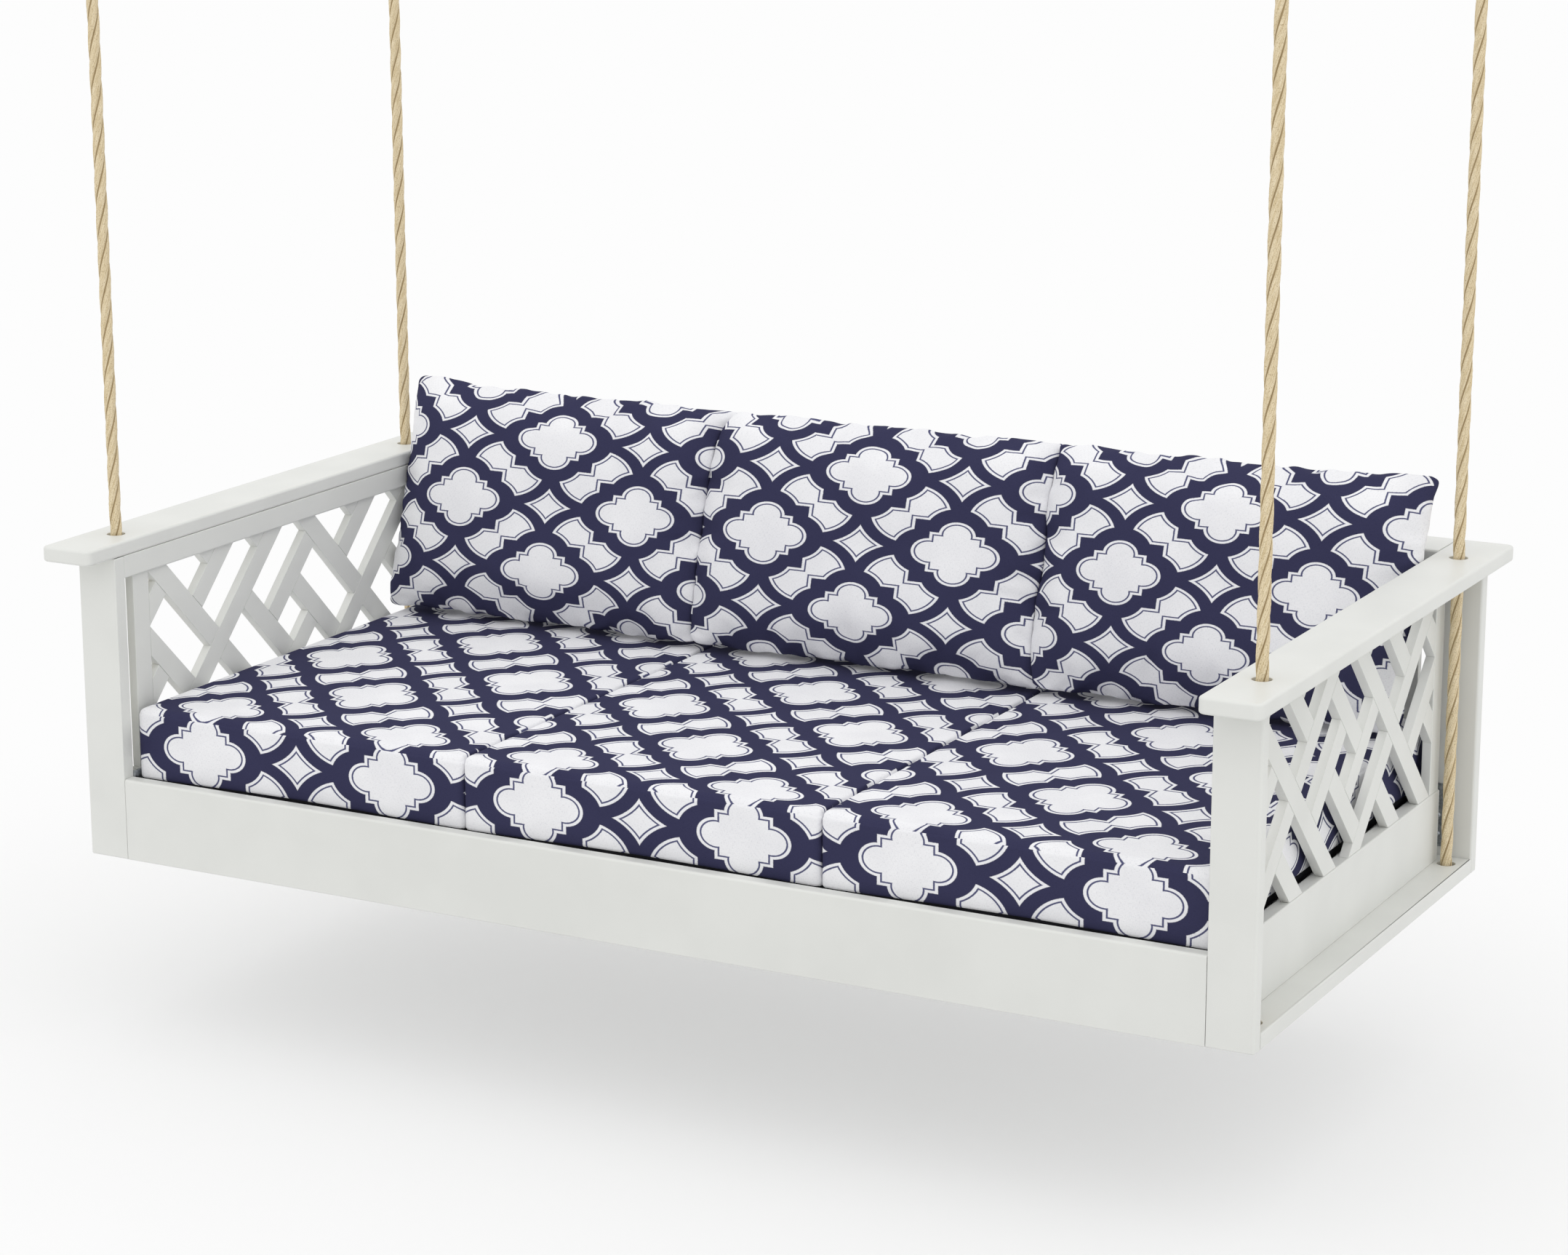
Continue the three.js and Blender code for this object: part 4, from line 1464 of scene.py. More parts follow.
@dataclass
class Hangers:
    """Each corner's ceiling plate with its ears, the bolt through them, and the rope's stop."""

    finishes: Finishes
    plate_thickness: float = 5 * MM
    plate_hole: float = 7 * MM
    hole_inset: float = 12 * MM
    hole_edge: float = 0.4 * MM
    plate_corner: float = 6 * MM
    plate_edge: float = 0.8 * MM
    ear_thickness: float = 5 * MM
    ear_width: float = 44 * MM
    ear_edge: float = 0.7 * MM
    ear_play: float = 1 * MM
    bolt: float = 12 * MM
    bolt_play: float = 0.4 * MM
    hex_across: float = 19 * MM
    hex_edge: float = 0.9 * MM
    head_height: float = 7 * MM
    stop_flange: float = 42 * MM
    flange_thickness: float = 3 * MM
    stop_barrel: float = 30 * MM
    stop_bore: float = 20.4 * MM
    stop_edge: float = 0.6 * MM

    def _fit(self, name: str, shape: Surface, body: str, node: str) -> None:
        """Plates a steel shape and puts it in a node's place.

        Args:
            name: the piece's name.
            shape: its shape.
            body: the body it rides on.
            node: the node it stands for.
        """
        piece = new_piece(name, shape, self.finishes.steel)
        shade_by_area(piece)
        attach(piece, body)
        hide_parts(node)

    def build(self, corner: Corner) -> None:
        """Makes one corner's steel.

        Args:
            corner: the corner.
        """
        self._hanger(corner.word)
        self._bolt(corner.word)
        self._stop(corner.word)

    def _hanger(self, name: str) -> None:
        """Makes the plate and its two ears.

        Args:
            name: the corner.
        """
        node = f"hanger_{name}"
        low, high = box_of(node)
        middle, bolt_z = (low + high) / 2, sum(box_of(f"hanger_bolt_{name}"))[2] / 2
        thick = self.plate_thickness
        stations = Hole.straight(self.plate_hole / 2, self.hole_edge, thick)
        places = [(u, v) for u in (low[0] + self.hole_inset, high[0] - self.hole_inset)
                  for v in (low[1] + self.hole_inset, high[1] - self.hole_inset)]
        outline = rounded_outline(low[:2], high[:2], [self.plate_corner] * 4)
        holes = [Hole(place, stations, 24) for place in places]
        plate = cut_board(outline, thick, self.plate_edge, holes).moved((0, 0, high[2] - thick))
        thimble_low, thimble_high = box_of(f"thimble_{name}")
        gap = (thimble_high - thimble_low)[0] / 2 + self.ear_play
        ears = [self._ear(middle, x, bolt_z, high[2] - thick, low[2])
                for x in (middle[0] - gap - self.ear_thickness, middle[0] + gap)]
        self._fit(f"{node}_steel", Surface.joined([plate, *ears]), "ceiling_hangers", node)

    def _ear(self, middle: Array, x: float, bolt_z: float, top: float, bottom: float) -> Surface:
        """An ear: a strip with a round end and a hole for the bolt.

        Args:
            middle: the hanger's middle.
            x: the ear's inner or outer face, whichever is less.
            bolt_z: the bolt's height.
            top: the plate's underside.
            bottom: the ear's lowest point.

        Returns:
            The ear.
        """
        y, half = middle[1], self.ear_width / 2
        rim = bolt_z - bottom
        turn = np.linspace(math.pi, 2 * math.pi, 25)
        arc = np.column_stack([y + half * np.cos(turn), bolt_z + rim * np.sin(turn)])
        root = top + 1 * MM
        outline = np.concatenate([arc, [[y + half, root], [y - half, root]]])
        thick = self.ear_thickness
        stations = Hole.straight(self.bolt / 2 + self.bolt_play, self.hole_edge, thick)
        ear = cut_board(outline, thick, self.ear_edge, [Hole((y, bolt_z), stations, 32)])
        return ear.along(Axis.X).moved((x, 0, 0))

    def _bolt(self, name: str) -> None:
        """Makes the bolt with its hexagonal head and nut.

        Args:
            name: the corner.
        """
        node = f"hanger_bolt_{name}"
        low, high = box_of(node)
        middle = (low + high) / 2
        turn = np.arange(6) * math.pi / 3
        corner = self.hex_across / math.sqrt(3)
        hexagon = np.column_stack([np.cos(turn), np.sin(turn)]) * corner
        head = cut_board(hexagon, self.head_height, self.hex_edge, arc_steps=3)
        length = high[0] - low[0]
        edge, radius = 0.8 * MM, self.bolt / 2
        shank = turned_shape([(radius - edge, 0), (radius, edge), (radius, length - edge - 2 * MM),
                              (radius - edge, length - 2 * MM)])
        parts = [head, head.moved((0, 0, length - self.head_height)), shank.moved((0, 0, 1 * MM))]
        shape = Surface.joined(parts).along(Axis.X).moved((low[0], middle[1], middle[2]))
        self._fit(f"{node}_steel", shape, "ceiling_hangers", node)

    def _stop(self, name: str) -> None:
        """Makes the flanged ferrule on the rope's lower end.

        Args:
            name: the corner.
        """
        node = f"rope_stop_{name}"
        low, high = box_of(node)
        middle, height = (low + high) / 2, high[2] - low[2]
        bore, barrel, flange = self.stop_bore / 2, self.stop_barrel / 2, self.stop_flange / 2
        edge, top = self.stop_edge, height - self.flange_thickness
        profile = [(bore, 0), (barrel - edge, 0), (barrel, edge), (barrel, top),
                   (flange - edge, top), (flange, top + edge), (flange, height - edge),
                   (flange - edge, height), (bore, height)]
        shape = turned_ring(profile).moved((middle[0], middle[1], low[2]))
        self._fit(f"{node}_steel", shape, "seat", node)


# ---- cushions


@dataclass(frozen=True)
class Panel:
    """A cut panel: a grid of places, its print in half periods and its thread in metres.

    It is of the trellis cloth, or of the near-black cloth of painted shade where is_backing is set.
    """

    places: Array
    print_uv: Array
    thread_uv: Array
    is_backing: bool = False


@dataclass
class Upholsterer:
    """Sews panels of two cloths into a cover, inflates it and smooths it."""

    finishes: Finishes
    frames: int = 20
    levels: int = 1
    weld: float = 0.01 * MM
    quality: int = 6
    mass: float = 0.3
    stretch_stiffness: float = 25
    shear_stiffness: float = 12
    bending_stiffness: float = 0.4

    def sew(self, name: str, panels: Sequence[Panel]) -> Piece:
        """Joins panels where their edges meet.

        Args:
            name: the cover's name.
            panels: the panels, which share their seams' places.

        Returns:
            The cover, a closed mesh with both cloths and the UV maps print and thread.
        """
        grids = [Surface(p.places.reshape(-1, 3), grid_faces(*p.places.shape[:2])) for p in panels]
        loose = Surface.joined(grids)
        keys = np.round(loose.points / self.weld).astype(np.int64)
        _, first, welded = np.unique(keys, axis=0, return_index=True, return_inverse=True)
        corners_of = np.array(loose.faces)
        cover = new_piece(name, Surface(loose.points[first], welded.ravel()[corners_of].tolist()),
                          self.finishes.cloth)
        for layer, attribute in (("print", "print_uv"), ("thread", "thread_uv")):
            flat = np.concatenate([getattr(p, attribute).reshape(-1, 2) for p in panels])
            uv = cover.data.uv_layers.new(name=layer)
            uv.data.foreach_set("uv", flat[corners_of.ravel()].astype(np.float32).ravel())
        # Second slot: the near-black cloth that paints shade on the cushions' bottoms.
        cover.data.materials.append(self.finishes.backing)
        slots = [np.full(len(grid.faces), int(panel.is_backing))
                 for grid, panel in zip(grids, panels)]
        cover.data.polygons.foreach_set("material_index", np.concatenate(slots).astype(np.int32))
        self._face_out(cover)
        return cover

    @staticmethod
    def _face_out(cover: Piece) -> None:
        """Turns all faces of a closed cover outwards.

        Args:
            cover: the cover.
        """
        shape = bmesh.new()
        shape.from_mesh(cover.data)
        bmesh.ops.recalc_face_normals(shape, faces=shape.faces)
        shape.to_mesh(cover.data)
        shape.free()
        shade_smooth(cover)

    @staticmethod
    def places(cover: Piece) -> Array:
        """A cover's points.

        Args:
            cover: the cover.

        Returns:
            The points.
        """
        flat = np.zeros(len(cover.data.vertices) * 3, np.float32)
        cover.data.vertices.foreach_get("co", flat)
        return flat.reshape(-1, 3).astype(float)

    @staticmethod
    def put(cover: Piece, places: Array) -> None:
        """Moves a cover's points to new places."""
        cover.data.vertices.foreach_set("co", places.astype(np.float32).ravel())
        cover.data.update()

    def inflate(self, cover: Piece, held: Array, pressure: float, ease: float,
                farthest: float) -> None:
        """Fills a cover by a cloth simulation and keeps the result in its mesh.

        A point's move is shortened to farthest tanh(move / farthest), so that it never exceeds it.

        Args:
            cover: the cover.
            held: how firmly each point is held, from 0 to 1.
            pressure: the filling's pressure.
            ease: by what share the cloth is cut larger than it is sewn.
            farthest: the most that a point may move.
        """
        start = self.places(cover)
        group = cover.vertex_groups.new(name="held")
        for weight in np.unique(held[held > 0]):
            group.add(np.flatnonzero(held == weight).tolist(), float(weight), "REPLACE")
        cloth = cover.modifiers.new("cloth", "CLOTH")
        settings = cloth.settings
        settings.quality = self.quality
        settings.mass = self.mass
        settings.tension_stiffness = settings.compression_stiffness = self.stretch_stiffness
        settings.shear_stiffness = self.shear_stiffness
        settings.bending_stiffness = self.bending_stiffness
        settings.use_pressure = True
        settings.uniform_pressure_force = pressure
        settings.shrink_min = -ease
        settings.vertex_group_mass = "held"
        settings.effector_weights.gravity = 0
        cloth.collision_settings.use_collision = False
        cloth.point_cache.frame_start = 1
        cloth.point_cache.frame_end = self.frames
        scene = bpy.context.scene
        for frame in range(1, self.frames + 1):
            scene.frame_set(frame)
        shown = cover.evaluated_get(bpy.context.evaluated_depsgraph_get())
        moved = np.zeros(len(start) * 3, np.float32)
        shown.data.vertices.foreach_get("co", moved)
        move = moved.reshape(-1, 3) - start
        length = np.linalg.norm(move, axis=1)[:, None]
        kept = farthest * np.tanh(length / farthest)
        share = np.where(length > 1e-9, kept / np.maximum(length, 1e-9), 1)
        cover.modifiers.remove(cloth)
        cover.vertex_groups.remove(group)
        scene.frame_set(1)
        self.put(cover, start + move * share)

    def dress(self, cover: Piece, node: str, fill: float) -> None:
        """Smooths a cover, and puts it on the seat in place of a plain solid.

        Args:
            cover: the cover.
            node: the solid it stands for.
            fill: how full it is; not used.
        """
        smooth = cover.modifiers.new("smooth", "SUBSURF")
        smooth.levels = smooth.render_levels = self.levels
        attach(cover, "seat")
        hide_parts(node)


def spread(half: float, near_rim: Sequence[float], pitch: float) -> Array:
    """Places from -1 to 1 that lie close together near both ends.

    Args:
        half: half the real width.
        near_rim: the first places' distances from the rim, in rising order, from 0.
        pitch: about how far apart the others lie.

    Returns:
        The places, as shares of half.
    """
    rim = np.asarray(near_rim, float)
    inner = half - rim[-1]
    between = np.linspace(-inner, inner, 1 + 2 * math.ceil(inner / pitch))[1:-1]
    return np.concatenate([-half + rim, between, (half - rim)[::-1]]) / half


def round_plan(u: Array, v: Array, half: tuple[float, float], corner: float) -> tuple[Array, Array]:
    """Maps the square from -1 to 1 onto a rectangle with round corners.

    In each corner, the shares s and t of the way to the rim become s sqrt(1 - t^2 / 2) and
    t sqrt(1 - s^2 / 2), which carries a square onto a quarter of a disc.

    Args:
        u, v: places in the square.
        half: the rectangle's half width and half height.
        corner: the radius of its corners.

    Returns:
        The places in the rectangle.
    """
    x, y = np.abs(u) * half[0], np.abs(v) * half[1]
    s = np.clip((x - half[0] + corner) / corner, 0, 1)
    t = np.clip((y - half[1] + corner) / corner, 0, 1)
    x = np.where(s > 0, half[0] - corner + corner * s * np.sqrt(1 - t * t / 2), x)
    y = np.where(t > 0, half[1] - corner + corner * t * np.sqrt(1 - s * s / 2), y)
    return np.sign(u) * x, np.sign(v) * y


def waves(along: Array, seed: int, longest: float, count: int = 6) -> Array:
    """Irregular waves: sines of rising frequency with drawn phases, their sum kept within 1.

    Args:
        along: where they are read, in metres.
        seed: the draw's seed.
        longest: the longest wave.
        count: the number of sines.

    Returns:
        The waves.
    """
    draw = np.random.default_rng(seed)
    phase = draw.uniform(0, 2 * math.pi, count)
    stretch = draw.uniform(0.85, 1.15, count)
    order = np.arange(1, count + 1)
    each = np.sin(2 * math.pi * along[..., None] * order * stretch / longest + phase)
    return (each / order ** 0.5).sum(-1) / (1 / order ** 0.5).sum()


class Place(Named):
    """Where a cushion lies, from the seat's left end; the value seeds its creases."""

    LEFT = 0
    MIDDLE = 1
    RIGHT = 2


@dataclass
class SeatCushions:
    """Three foam cushions: a top, a bottom of near-black painted shade and a boxing strip, sewn
    with plain seams.
    """

    upholsterer: Upholsterer
    half_period: tuple[float, ...] = (200 * MM, 190 * MM, 200 * MM)
    half_period_across: float = 184.5 * MM
    front_squeeze: float = 0.25
    squeeze_reach: float = 60 * MM
    boxing_half_period: tuple[float, float] = (185.5 * MM, 144 * MM)
    top_shift: tuple[tuple[float, float], ...] = (
        (-4 * MM, 266 * MM), (1 * MM, 250 * MM), (7 * MM, 262 * MM))
    boxing_shift: tuple[float, ...] = (2 * MM, 5 * MM, 12 * MM)
    boxing_star_height: float = 67.7 * MM
    corner: float = 12 * MM
    roll: float = 13 * MM
    seam: float = 1.0 * MM
    seam_slope: float = math.radians(22)
    crease: float = 0.8 * MM
    neighbour_steepness: float = 2.6
    crown: float = 6 * MM
    pitch: float = 17 * MM
    side_bulge: float = 3.2 * MM
    front_lift: float = 4.2 * MM
    side_lift: float = 19 * MM
    lift_reach: float = 6 * MM
    roll_places: tuple[float, ...] = (1.2 * MM, 3.5 * MM, 7 * MM, 11 * MM, 16 * MM)
    last_place: float = 24 * MM
    middle_rows: int = 6
    top_dip: float = 1.3 * MM
    side_dip: float = 2 * MM

    def build(self) -> None:
        """Builds the three cushions."""
        for place in Place:
            self._cushion(place)

    def _cushion(self, place: Place) -> None:
        """Sews and dresses one cushion.

        Args:
            place: which one.
        """
        node = f"seat_cushion_{place.word}"
        low, high = box_of(node)
        panels = [self._flat_panel(place, low, high, side) for side in (1, -1)]
        panels.append(self._boxing(place, low, high))
        cover = self.upholsterer.sew(f"{node}_cover", panels)
        self.upholsterer.dress(cover, node, fill=0.9)

    def _grid(self, low: Array, high: Array) -> tuple[Array, Array]:
        """The places of a cushion's grid lines.

        Args:
            low, high: its box.

        Returns:
            The places across and along, as shares of its half width and half depth.
        """
        rim = (0, *self.roll_places, self.last_place)
        inset_half = (high - low) / 2 - self._seam_inset()
        return spread(inset_half[0], rim, self.pitch), spread(inset_half[1], rim, self.pitch)

    def _seam_inset(self) -> float:
        """How far the seam lies inside the cushion's sides."""
        return self._roll_inset() + self.crease

    def _roll_inset(self) -> float:
        """How far the roll is drawn in at the seam."""
        return self.roll * (1 - math.cos(self.seam_slope))

    def _thickness(self, low: Array, high: Array) -> float:
        """The cushion's height at its rim, where it has no crown."""
        return high[2] - low[2] - self.crown

    def _lift(self, place: Place, u: Array, v: Array, size: Array) -> Array:
        """How far the bottom seam and the panel near it are drawn up off the deck.

        The front is drawn up by its lift times (1 - u^2)^2, and a side next to an arm by its own
        times (1 - v^8); both fade with e^(-distance / reach) away from that side.

        Args:
            place: the cushion.
            u, v: places in the square.
            size: the cushion's size.

        Returns:
            The lift.
        """
        # Lifting bares the near-black bottom in the gaps by the front rail and the arms, as painted
        # shade.
        from_front = (1 + v) * size[1] / 2
        front = self.front_lift * (1 - u ** 2) ** 2 * np.exp(-from_front / self.lift_reach)
        arm = place.value - 1
        beside = 1 - u * arm if arm else np.full(np.shape(u), 2.0)
        side = self.side_lift * (1 - v ** 8) * np.exp(-beside * size[0] / 2 / self.lift_reach)
        return front + abs(arm) * side

    def _flat_panel(self, place: Place, low: Array, high: Array, side: int) -> Panel:
        """The top or bottom panel.

        Near its rim it falls along a quarter circle as deep as the roll, or steeper beside another
        cushion, and dips by the seam times e^(-(distance / dip)^2). A top is crowned by
        (1 - u^4)(1 - v^4) of the crown. The print lies closer towards the front seam, by the
        squeeze times e^(-distance / reach).

        Args:
            place: the cushion.
            low, high: its box.
            side: 1 for the top and -1 for the bottom.

        Returns:
            The panel.
        """
        us, vs = self._grid(low, high)
        u, v = np.meshgrid(us, vs)
        half = (high - low) / 2 - self._seam_inset()
        x, y = round_plan(u, v, (half[0], half[1]), self.corner - self._seam_inset())
        has_neighbour = np.abs(place.value - 1 + np.sign(u)) < 2
        steepness = np.where(has_neighbour, self.neighbour_steepness, 1.0)
        rim = np.minimum(half[0] * (1 - np.abs(u)) * steepness, half[1] * (1 - np.abs(v)))
        from_side = np.minimum(rim + self._roll_inset(), self.roll)
        fall = self.roll - np.sqrt(self.roll ** 2 - (self.roll - from_side) ** 2)
        fall += self.seam * np.exp(-(rim / self.top_dip) ** 2)
        crown = self.crown * (1 - u ** 4) * (1 - v ** 4) if side > 0 else 0
        thickness = self._thickness(low, high)
        middle = (low + high) / 2
        lift = self._lift(place, u, v, high - low)
        z = low[2] + (thickness - fall + crown if side > 0 else fall + lift)
        shift_x, motif_y = self.top_shift[place.value]
        front = box_of("post_front_left")[0][1]
        world_y = middle[1] + v * (high - low)[1] / 2
        world_x = u * (high - low)[0] / 2
        row = (world_y - front - motif_y) / self.half_period[place.value]
        squeezed = self.front_squeeze * np.exp(-(world_y - low[1]) / self.squeeze_reach)
        print_uv = np.stack([(world_x - shift_x) / self.half_period_across, row - squeezed], -1)
        # A bottom panel takes the near-black cloth: painted shade where it shows by the rails.
        return Panel(np.stack([middle[0] + x, middle[1] + y, z], -1), print_uv,
                     np.stack([world_x, world_y], -1), is_backing=side < 0)

    def _boxing(self, place: Place, low: Array, high: Array) -> Panel:
        """The strip round the sides, from the rear middle round to itself.

        At a height within the roll of the top or bottom it is drawn in by the same quarter circle,
        less the dip at its seam. Next to an arm it bulges by half a sine over its height.

        Args:
            place: the cushion.
            low, high: its box.

        Returns:
            The panel.
        """
        us, vs = self._grid(low, high)
        right, left = us[us >= -1e-9], us[us <= 1e-9]
        side = np.ones(len(vs) - 1)
        u = np.concatenate([right, side, us[::-1][1:], -side, left[1:]])
        v = np.concatenate([np.ones(len(right)), vs[::-1][1:], -np.ones(len(us) - 1), vs[1:],
                            np.ones(len(left) - 1)])
        seam_fall = self.roll * (1 - math.sin(self.seam_slope)) + self.seam
        height = self._thickness(low, high) - 2 * seam_fall
        rolled = np.array(self.roll_places)
        between = np.linspace(rolled[-1], height - rolled[-1], self.middle_rows)[1:-1]
        rows = np.concatenate([[0], rolled, between, (height - rolled)[::-1], [height]])
        from_seam = np.minimum(rows, height - rows)
        dip = self.seam * np.exp(-(from_seam / self.side_dip) ** 2)
        depth = np.minimum(from_seam + seam_fall - dip, self.roll)
        drawn_in = self.roll - np.sqrt(self.roll ** 2 - (self.roll - depth) ** 2)
        drawn_in[[0, -1]] = self._seam_inset()
        half, middle = (high - low) / 2, (low + high) / 2
        lift = self._lift(place, u, v, high - low)
        bulge = self.side_bulge * np.sin(np.pi * rows / height) * abs(place.value - 1)
        beside = np.clip(u * (place.value - 1), 0, 1) ** 8 * (1 - v ** 6)
        rings = []
        for row, back, swell in zip(rows, drawn_in, bulge):
            x, y = round_plan(u, v, (half[0] - back, half[1] - back), self.corner - back)
            rings.append(np.stack([middle[0] + x + np.sign(u) * beside * swell, middle[1] + y,
                                   low[2] + seam_fall + lift + row * (1 - lift / height)], -1))
        places = np.stack(rings)
        steps = np.linalg.norm(np.diff(places[len(rows) // 2], axis=0), axis=1)
        around = np.concatenate([[0], np.cumsum(steps)])
        across = np.broadcast_to(around[-1] / 2 - around, places.shape[:2])
        up = places[..., 2] - low[2]
        star, (pace, rise) = self.boxing_shift[place.value], self.boxing_half_period
        print_uv = np.stack([1 + (across - star) / pace, (up - self.boxing_star_height) / rise], -1)
        return Panel(places, print_uv, np.stack([across, up], -1))


@dataclass
class BackCushions:
    """Three pillows of two panels sewn edge to edge, leaning on the back and pressed together."""

    upholsterer: Upholsterer
    half_period: tuple[tuple[float, float], ...] = (
        (180.5 * MM, 118.6 * MM), (180.5 * MM, 120.8 * MM), (170.5 * MM, 119.2 * MM))
    star_shift: tuple[float, ...] = (16.4 * MM, -4.5 * MM, 4.2 * MM)
    star_height: tuple[float, ...] = (210 * MM, 208 * MM, 209 * MM)
    height: float = 422 * MM
    sewn_over: float = 22 * MM
    lean: float = math.radians(17)
    front_bulge: float = 70 * MM
    rear_bulge: float = 82 * MM
    power: float = 0.5
    frame_power: float = 0.6
    rim: float = 2.5 * MM
    frame_edge: float = 7 * MM
    corner: float = 22 * MM
    pucker: float = 5.5 * MM
    start_share: float = 0.84
    pitch: float = 8.5 * MM
    pressure: float = 4.0
    ease: float = 0.02
    farthest: float = 11 * MM
    ear: float = 10 * MM
    ear_reach: float = 45 * MM
    ear_forward: tuple[float, float] = (8 * MM, -13 * MM)
    outer_ear: float = 5 * MM
    top_corner: tuple[tuple[float, float], ...] = ((0.0, 14 * MM), (8 * MM, 13 * MM))
    waist: float = 3 * MM
    seam_sway: tuple[tuple[tuple[float, float, float], ...], ...] = (
        ((0.0, 1.6, -17 * MM), (1.05, 0.22, 34 * MM)),
        ((-0.40, 0.35, -8 * MM), (-1.0, 0.2, 9 * MM), (0.5, 0.3, -9 * MM)))
    ear_start: float = 0.88
    ear_rise: float = 0.11
    left_ear_share: float = 0.3
    sunk: float = 2.5 * MM
    seat_clearance: float = 0.3 * MM
    wood_clearance: float = 0.5 * MM
    cap_clearance: float = 0.3 * MM
    over_wood: float = 1 * MM
    over_arm_rise: float = 40 * MM
    over_arm_reach: float = 30 * MM
    near_rim: tuple[float, ...] = (0, 1.5 * MM, 4 * MM, 7.5 * MM, 12 * MM, 18 * MM, 25 * MM)
    waves_longest: tuple[float, float, float] = (170 * MM, 220 * MM, 200 * MM)
    waves_seeds: tuple[int, int, int] = (11, 31, 51)
    seam_slack: float = 0.6
    rim_ripple: float = 0.12

    def build(self) -> None:
        """Builds the three pillows."""
        for place in Place:
            self._pillow(place)

    @staticmethod
    def fullness(u: Array, v: Array, power: float) -> Array:
        """How full a pillow is, from 0 at its seams to 1: (1 - u^4)(1 - v^4) to a power."""
        return np.maximum((1 - u ** 4) * (1 - v ** 4), 0) ** power

    def _pillow(self, place: Place) -> None:
        """Sews, fills and dresses one pillow.

        Args:
            place: which one.
        """
        node = f"back_cushion_{place.word}"
        low, high = box_of(node)
        room = high[0] - low[0]
        width = room + self.sewn_over
        panels = [self._panel(place, width, side) for side in (1, -1)]
        cover = self.upholsterer.sew(f"{node}_cover", panels)
        start = self.upholsterer.places(cover)
        u = np.clip(start[:, 0] / (width / 2), -1, 1)
        v = np.clip(start[:, 1] / (self.height / 2), -1, 1)
        held = np.where(np.abs(start[:, 2]) < self.rim * 2, 1.0, 0.0)
        self.upholsterer.inflate(cover, held, self.pressure, self.ease, self.farthest)
        pressed = self._pressed(self.upholsterer.places(cover), place, u, v, room / 2)
        self.upholsterer.put(cover, self._leaned(pressed, low, high))
        self.upholsterer.dress(cover, node, fill=0.75)

    def _panel(self, place: Place, width: float, side: int) -> Panel:
        """A pillow's front or rear panel, lying flat with its middle over the origin.

        Its height is the bulge times the fullness, and its seam is drawn in by irregular waves.

        Args:
            place: the pillow.
            width: its width.
            side: 1 for the front and -1 for the rear.

        Returns:
            The panel.
        """
        us = spread(width / 2, self.near_rim, self.pitch)
        vs = spread(self.height / 2, self.near_rim, self.pitch)
        u, v = np.meshgrid(us, vs)
        x, y = round_plan(u, v, (width / 2, self.height / 2), self.corner)
        bulge = self.front_bulge if side > 0 else self.rear_bulge
        full = self.fullness(u, v, self.power) * self.start_share
        round_rim = np.arctan2(v, u) * (width + self.height) / 4
        seam, sway, ripple = (waves(round_rim, seed + place.value, longest)
                              for seed, longest in zip(self.waves_seeds, self.waves_longest))
        drawn = self.pucker * (self.seam_slack + seam)
        x = x - np.sign(u) * drawn * u ** 12 * 0.5
        y = y - np.sign(v) * drawn * v ** 12
        near = np.maximum(u ** 10, v ** 10)
        z = side * (bulge - self.rim) * full * (1 - self.rim_ripple * near * ripple)
        z = z + self.pucker * sway * near
        half_period, star_z = self.half_period[place.value], self.star_height[place.value]
        print_uv = np.stack([1 + (u * width / 2 - self.star_shift[place.value]) / half_period[0],
                             ((v + 1) * self.height / 2 - star_z) / half_period[1]], -1)
        thread_uv = np.stack([u * width / 2, v * self.height / 2], -1)
        return Panel(np.stack([x, y, z], -1), print_uv, thread_uv)

    def _sway(self, seam: int, v: Array) -> Array:
        """How far to the right two pillows meet at a height: a sum of bells over it."""
        return sum(reach * np.exp(-((v - middle) / wide) ** 2)
                   for middle, wide, reach in self.seam_sway[seam])

    def _pressed(self, places: Array, place: Place, u: Array, v: Array, half_room: float) -> Array:
        """Presses a filled pillow against its neighbours, past which only its ears reach.

        A side next to an arm is drawn in at its waist, and its top corner is drawn out and up.

        Args:
            places: the pillow's points, lying flat.
            place: which one it is.
            u, v: the points' shares of the way from its middle to its rim.
            half_room: half the width that it has.

        Returns:
            The new points.
        """
        places = places.copy()
        up = smooth_step(np.clip((np.abs(v) - self.ear_start) / self.ear_rise, 0, 1))
        for sign in (-1, 1):
            weight = smooth_step(np.clip(sign * u * 2 - 1, 0, 1))
            seam = place.value + (sign - 1) // 2
            if seam in (0, 1):
                sway = self._sway(seam, v)
                places[:, 0] += sway * weight
                share = 1.0 if sign > 0 else self.left_ear_share
                limit = sign * half_room + sway + sign * self.ear * up * share
                beyond = sign * (places[:, 0] - limit) > 0
                places[beyond, 0] = limit[beyond]
                away = np.hypot((1 - sign * u) * half_room, (1 - np.abs(v)) * self.height / 2)
                forward = self.ear_forward[(sign + 1) // 2]
                places[:, 2] += forward * np.exp(-(away / self.ear_reach) ** 2)
            else:
                out, rise = self.top_corner[place.value // 2]
                over = np.clip(v, 0, 1)
                outward = self.outer_ear * v ** 8 - self.waist * (1 - v * v) + out * over ** 8
                places[:, 0] += sign * weight * outward
                places[:, 1] += rise * weight * over ** 3
        return places

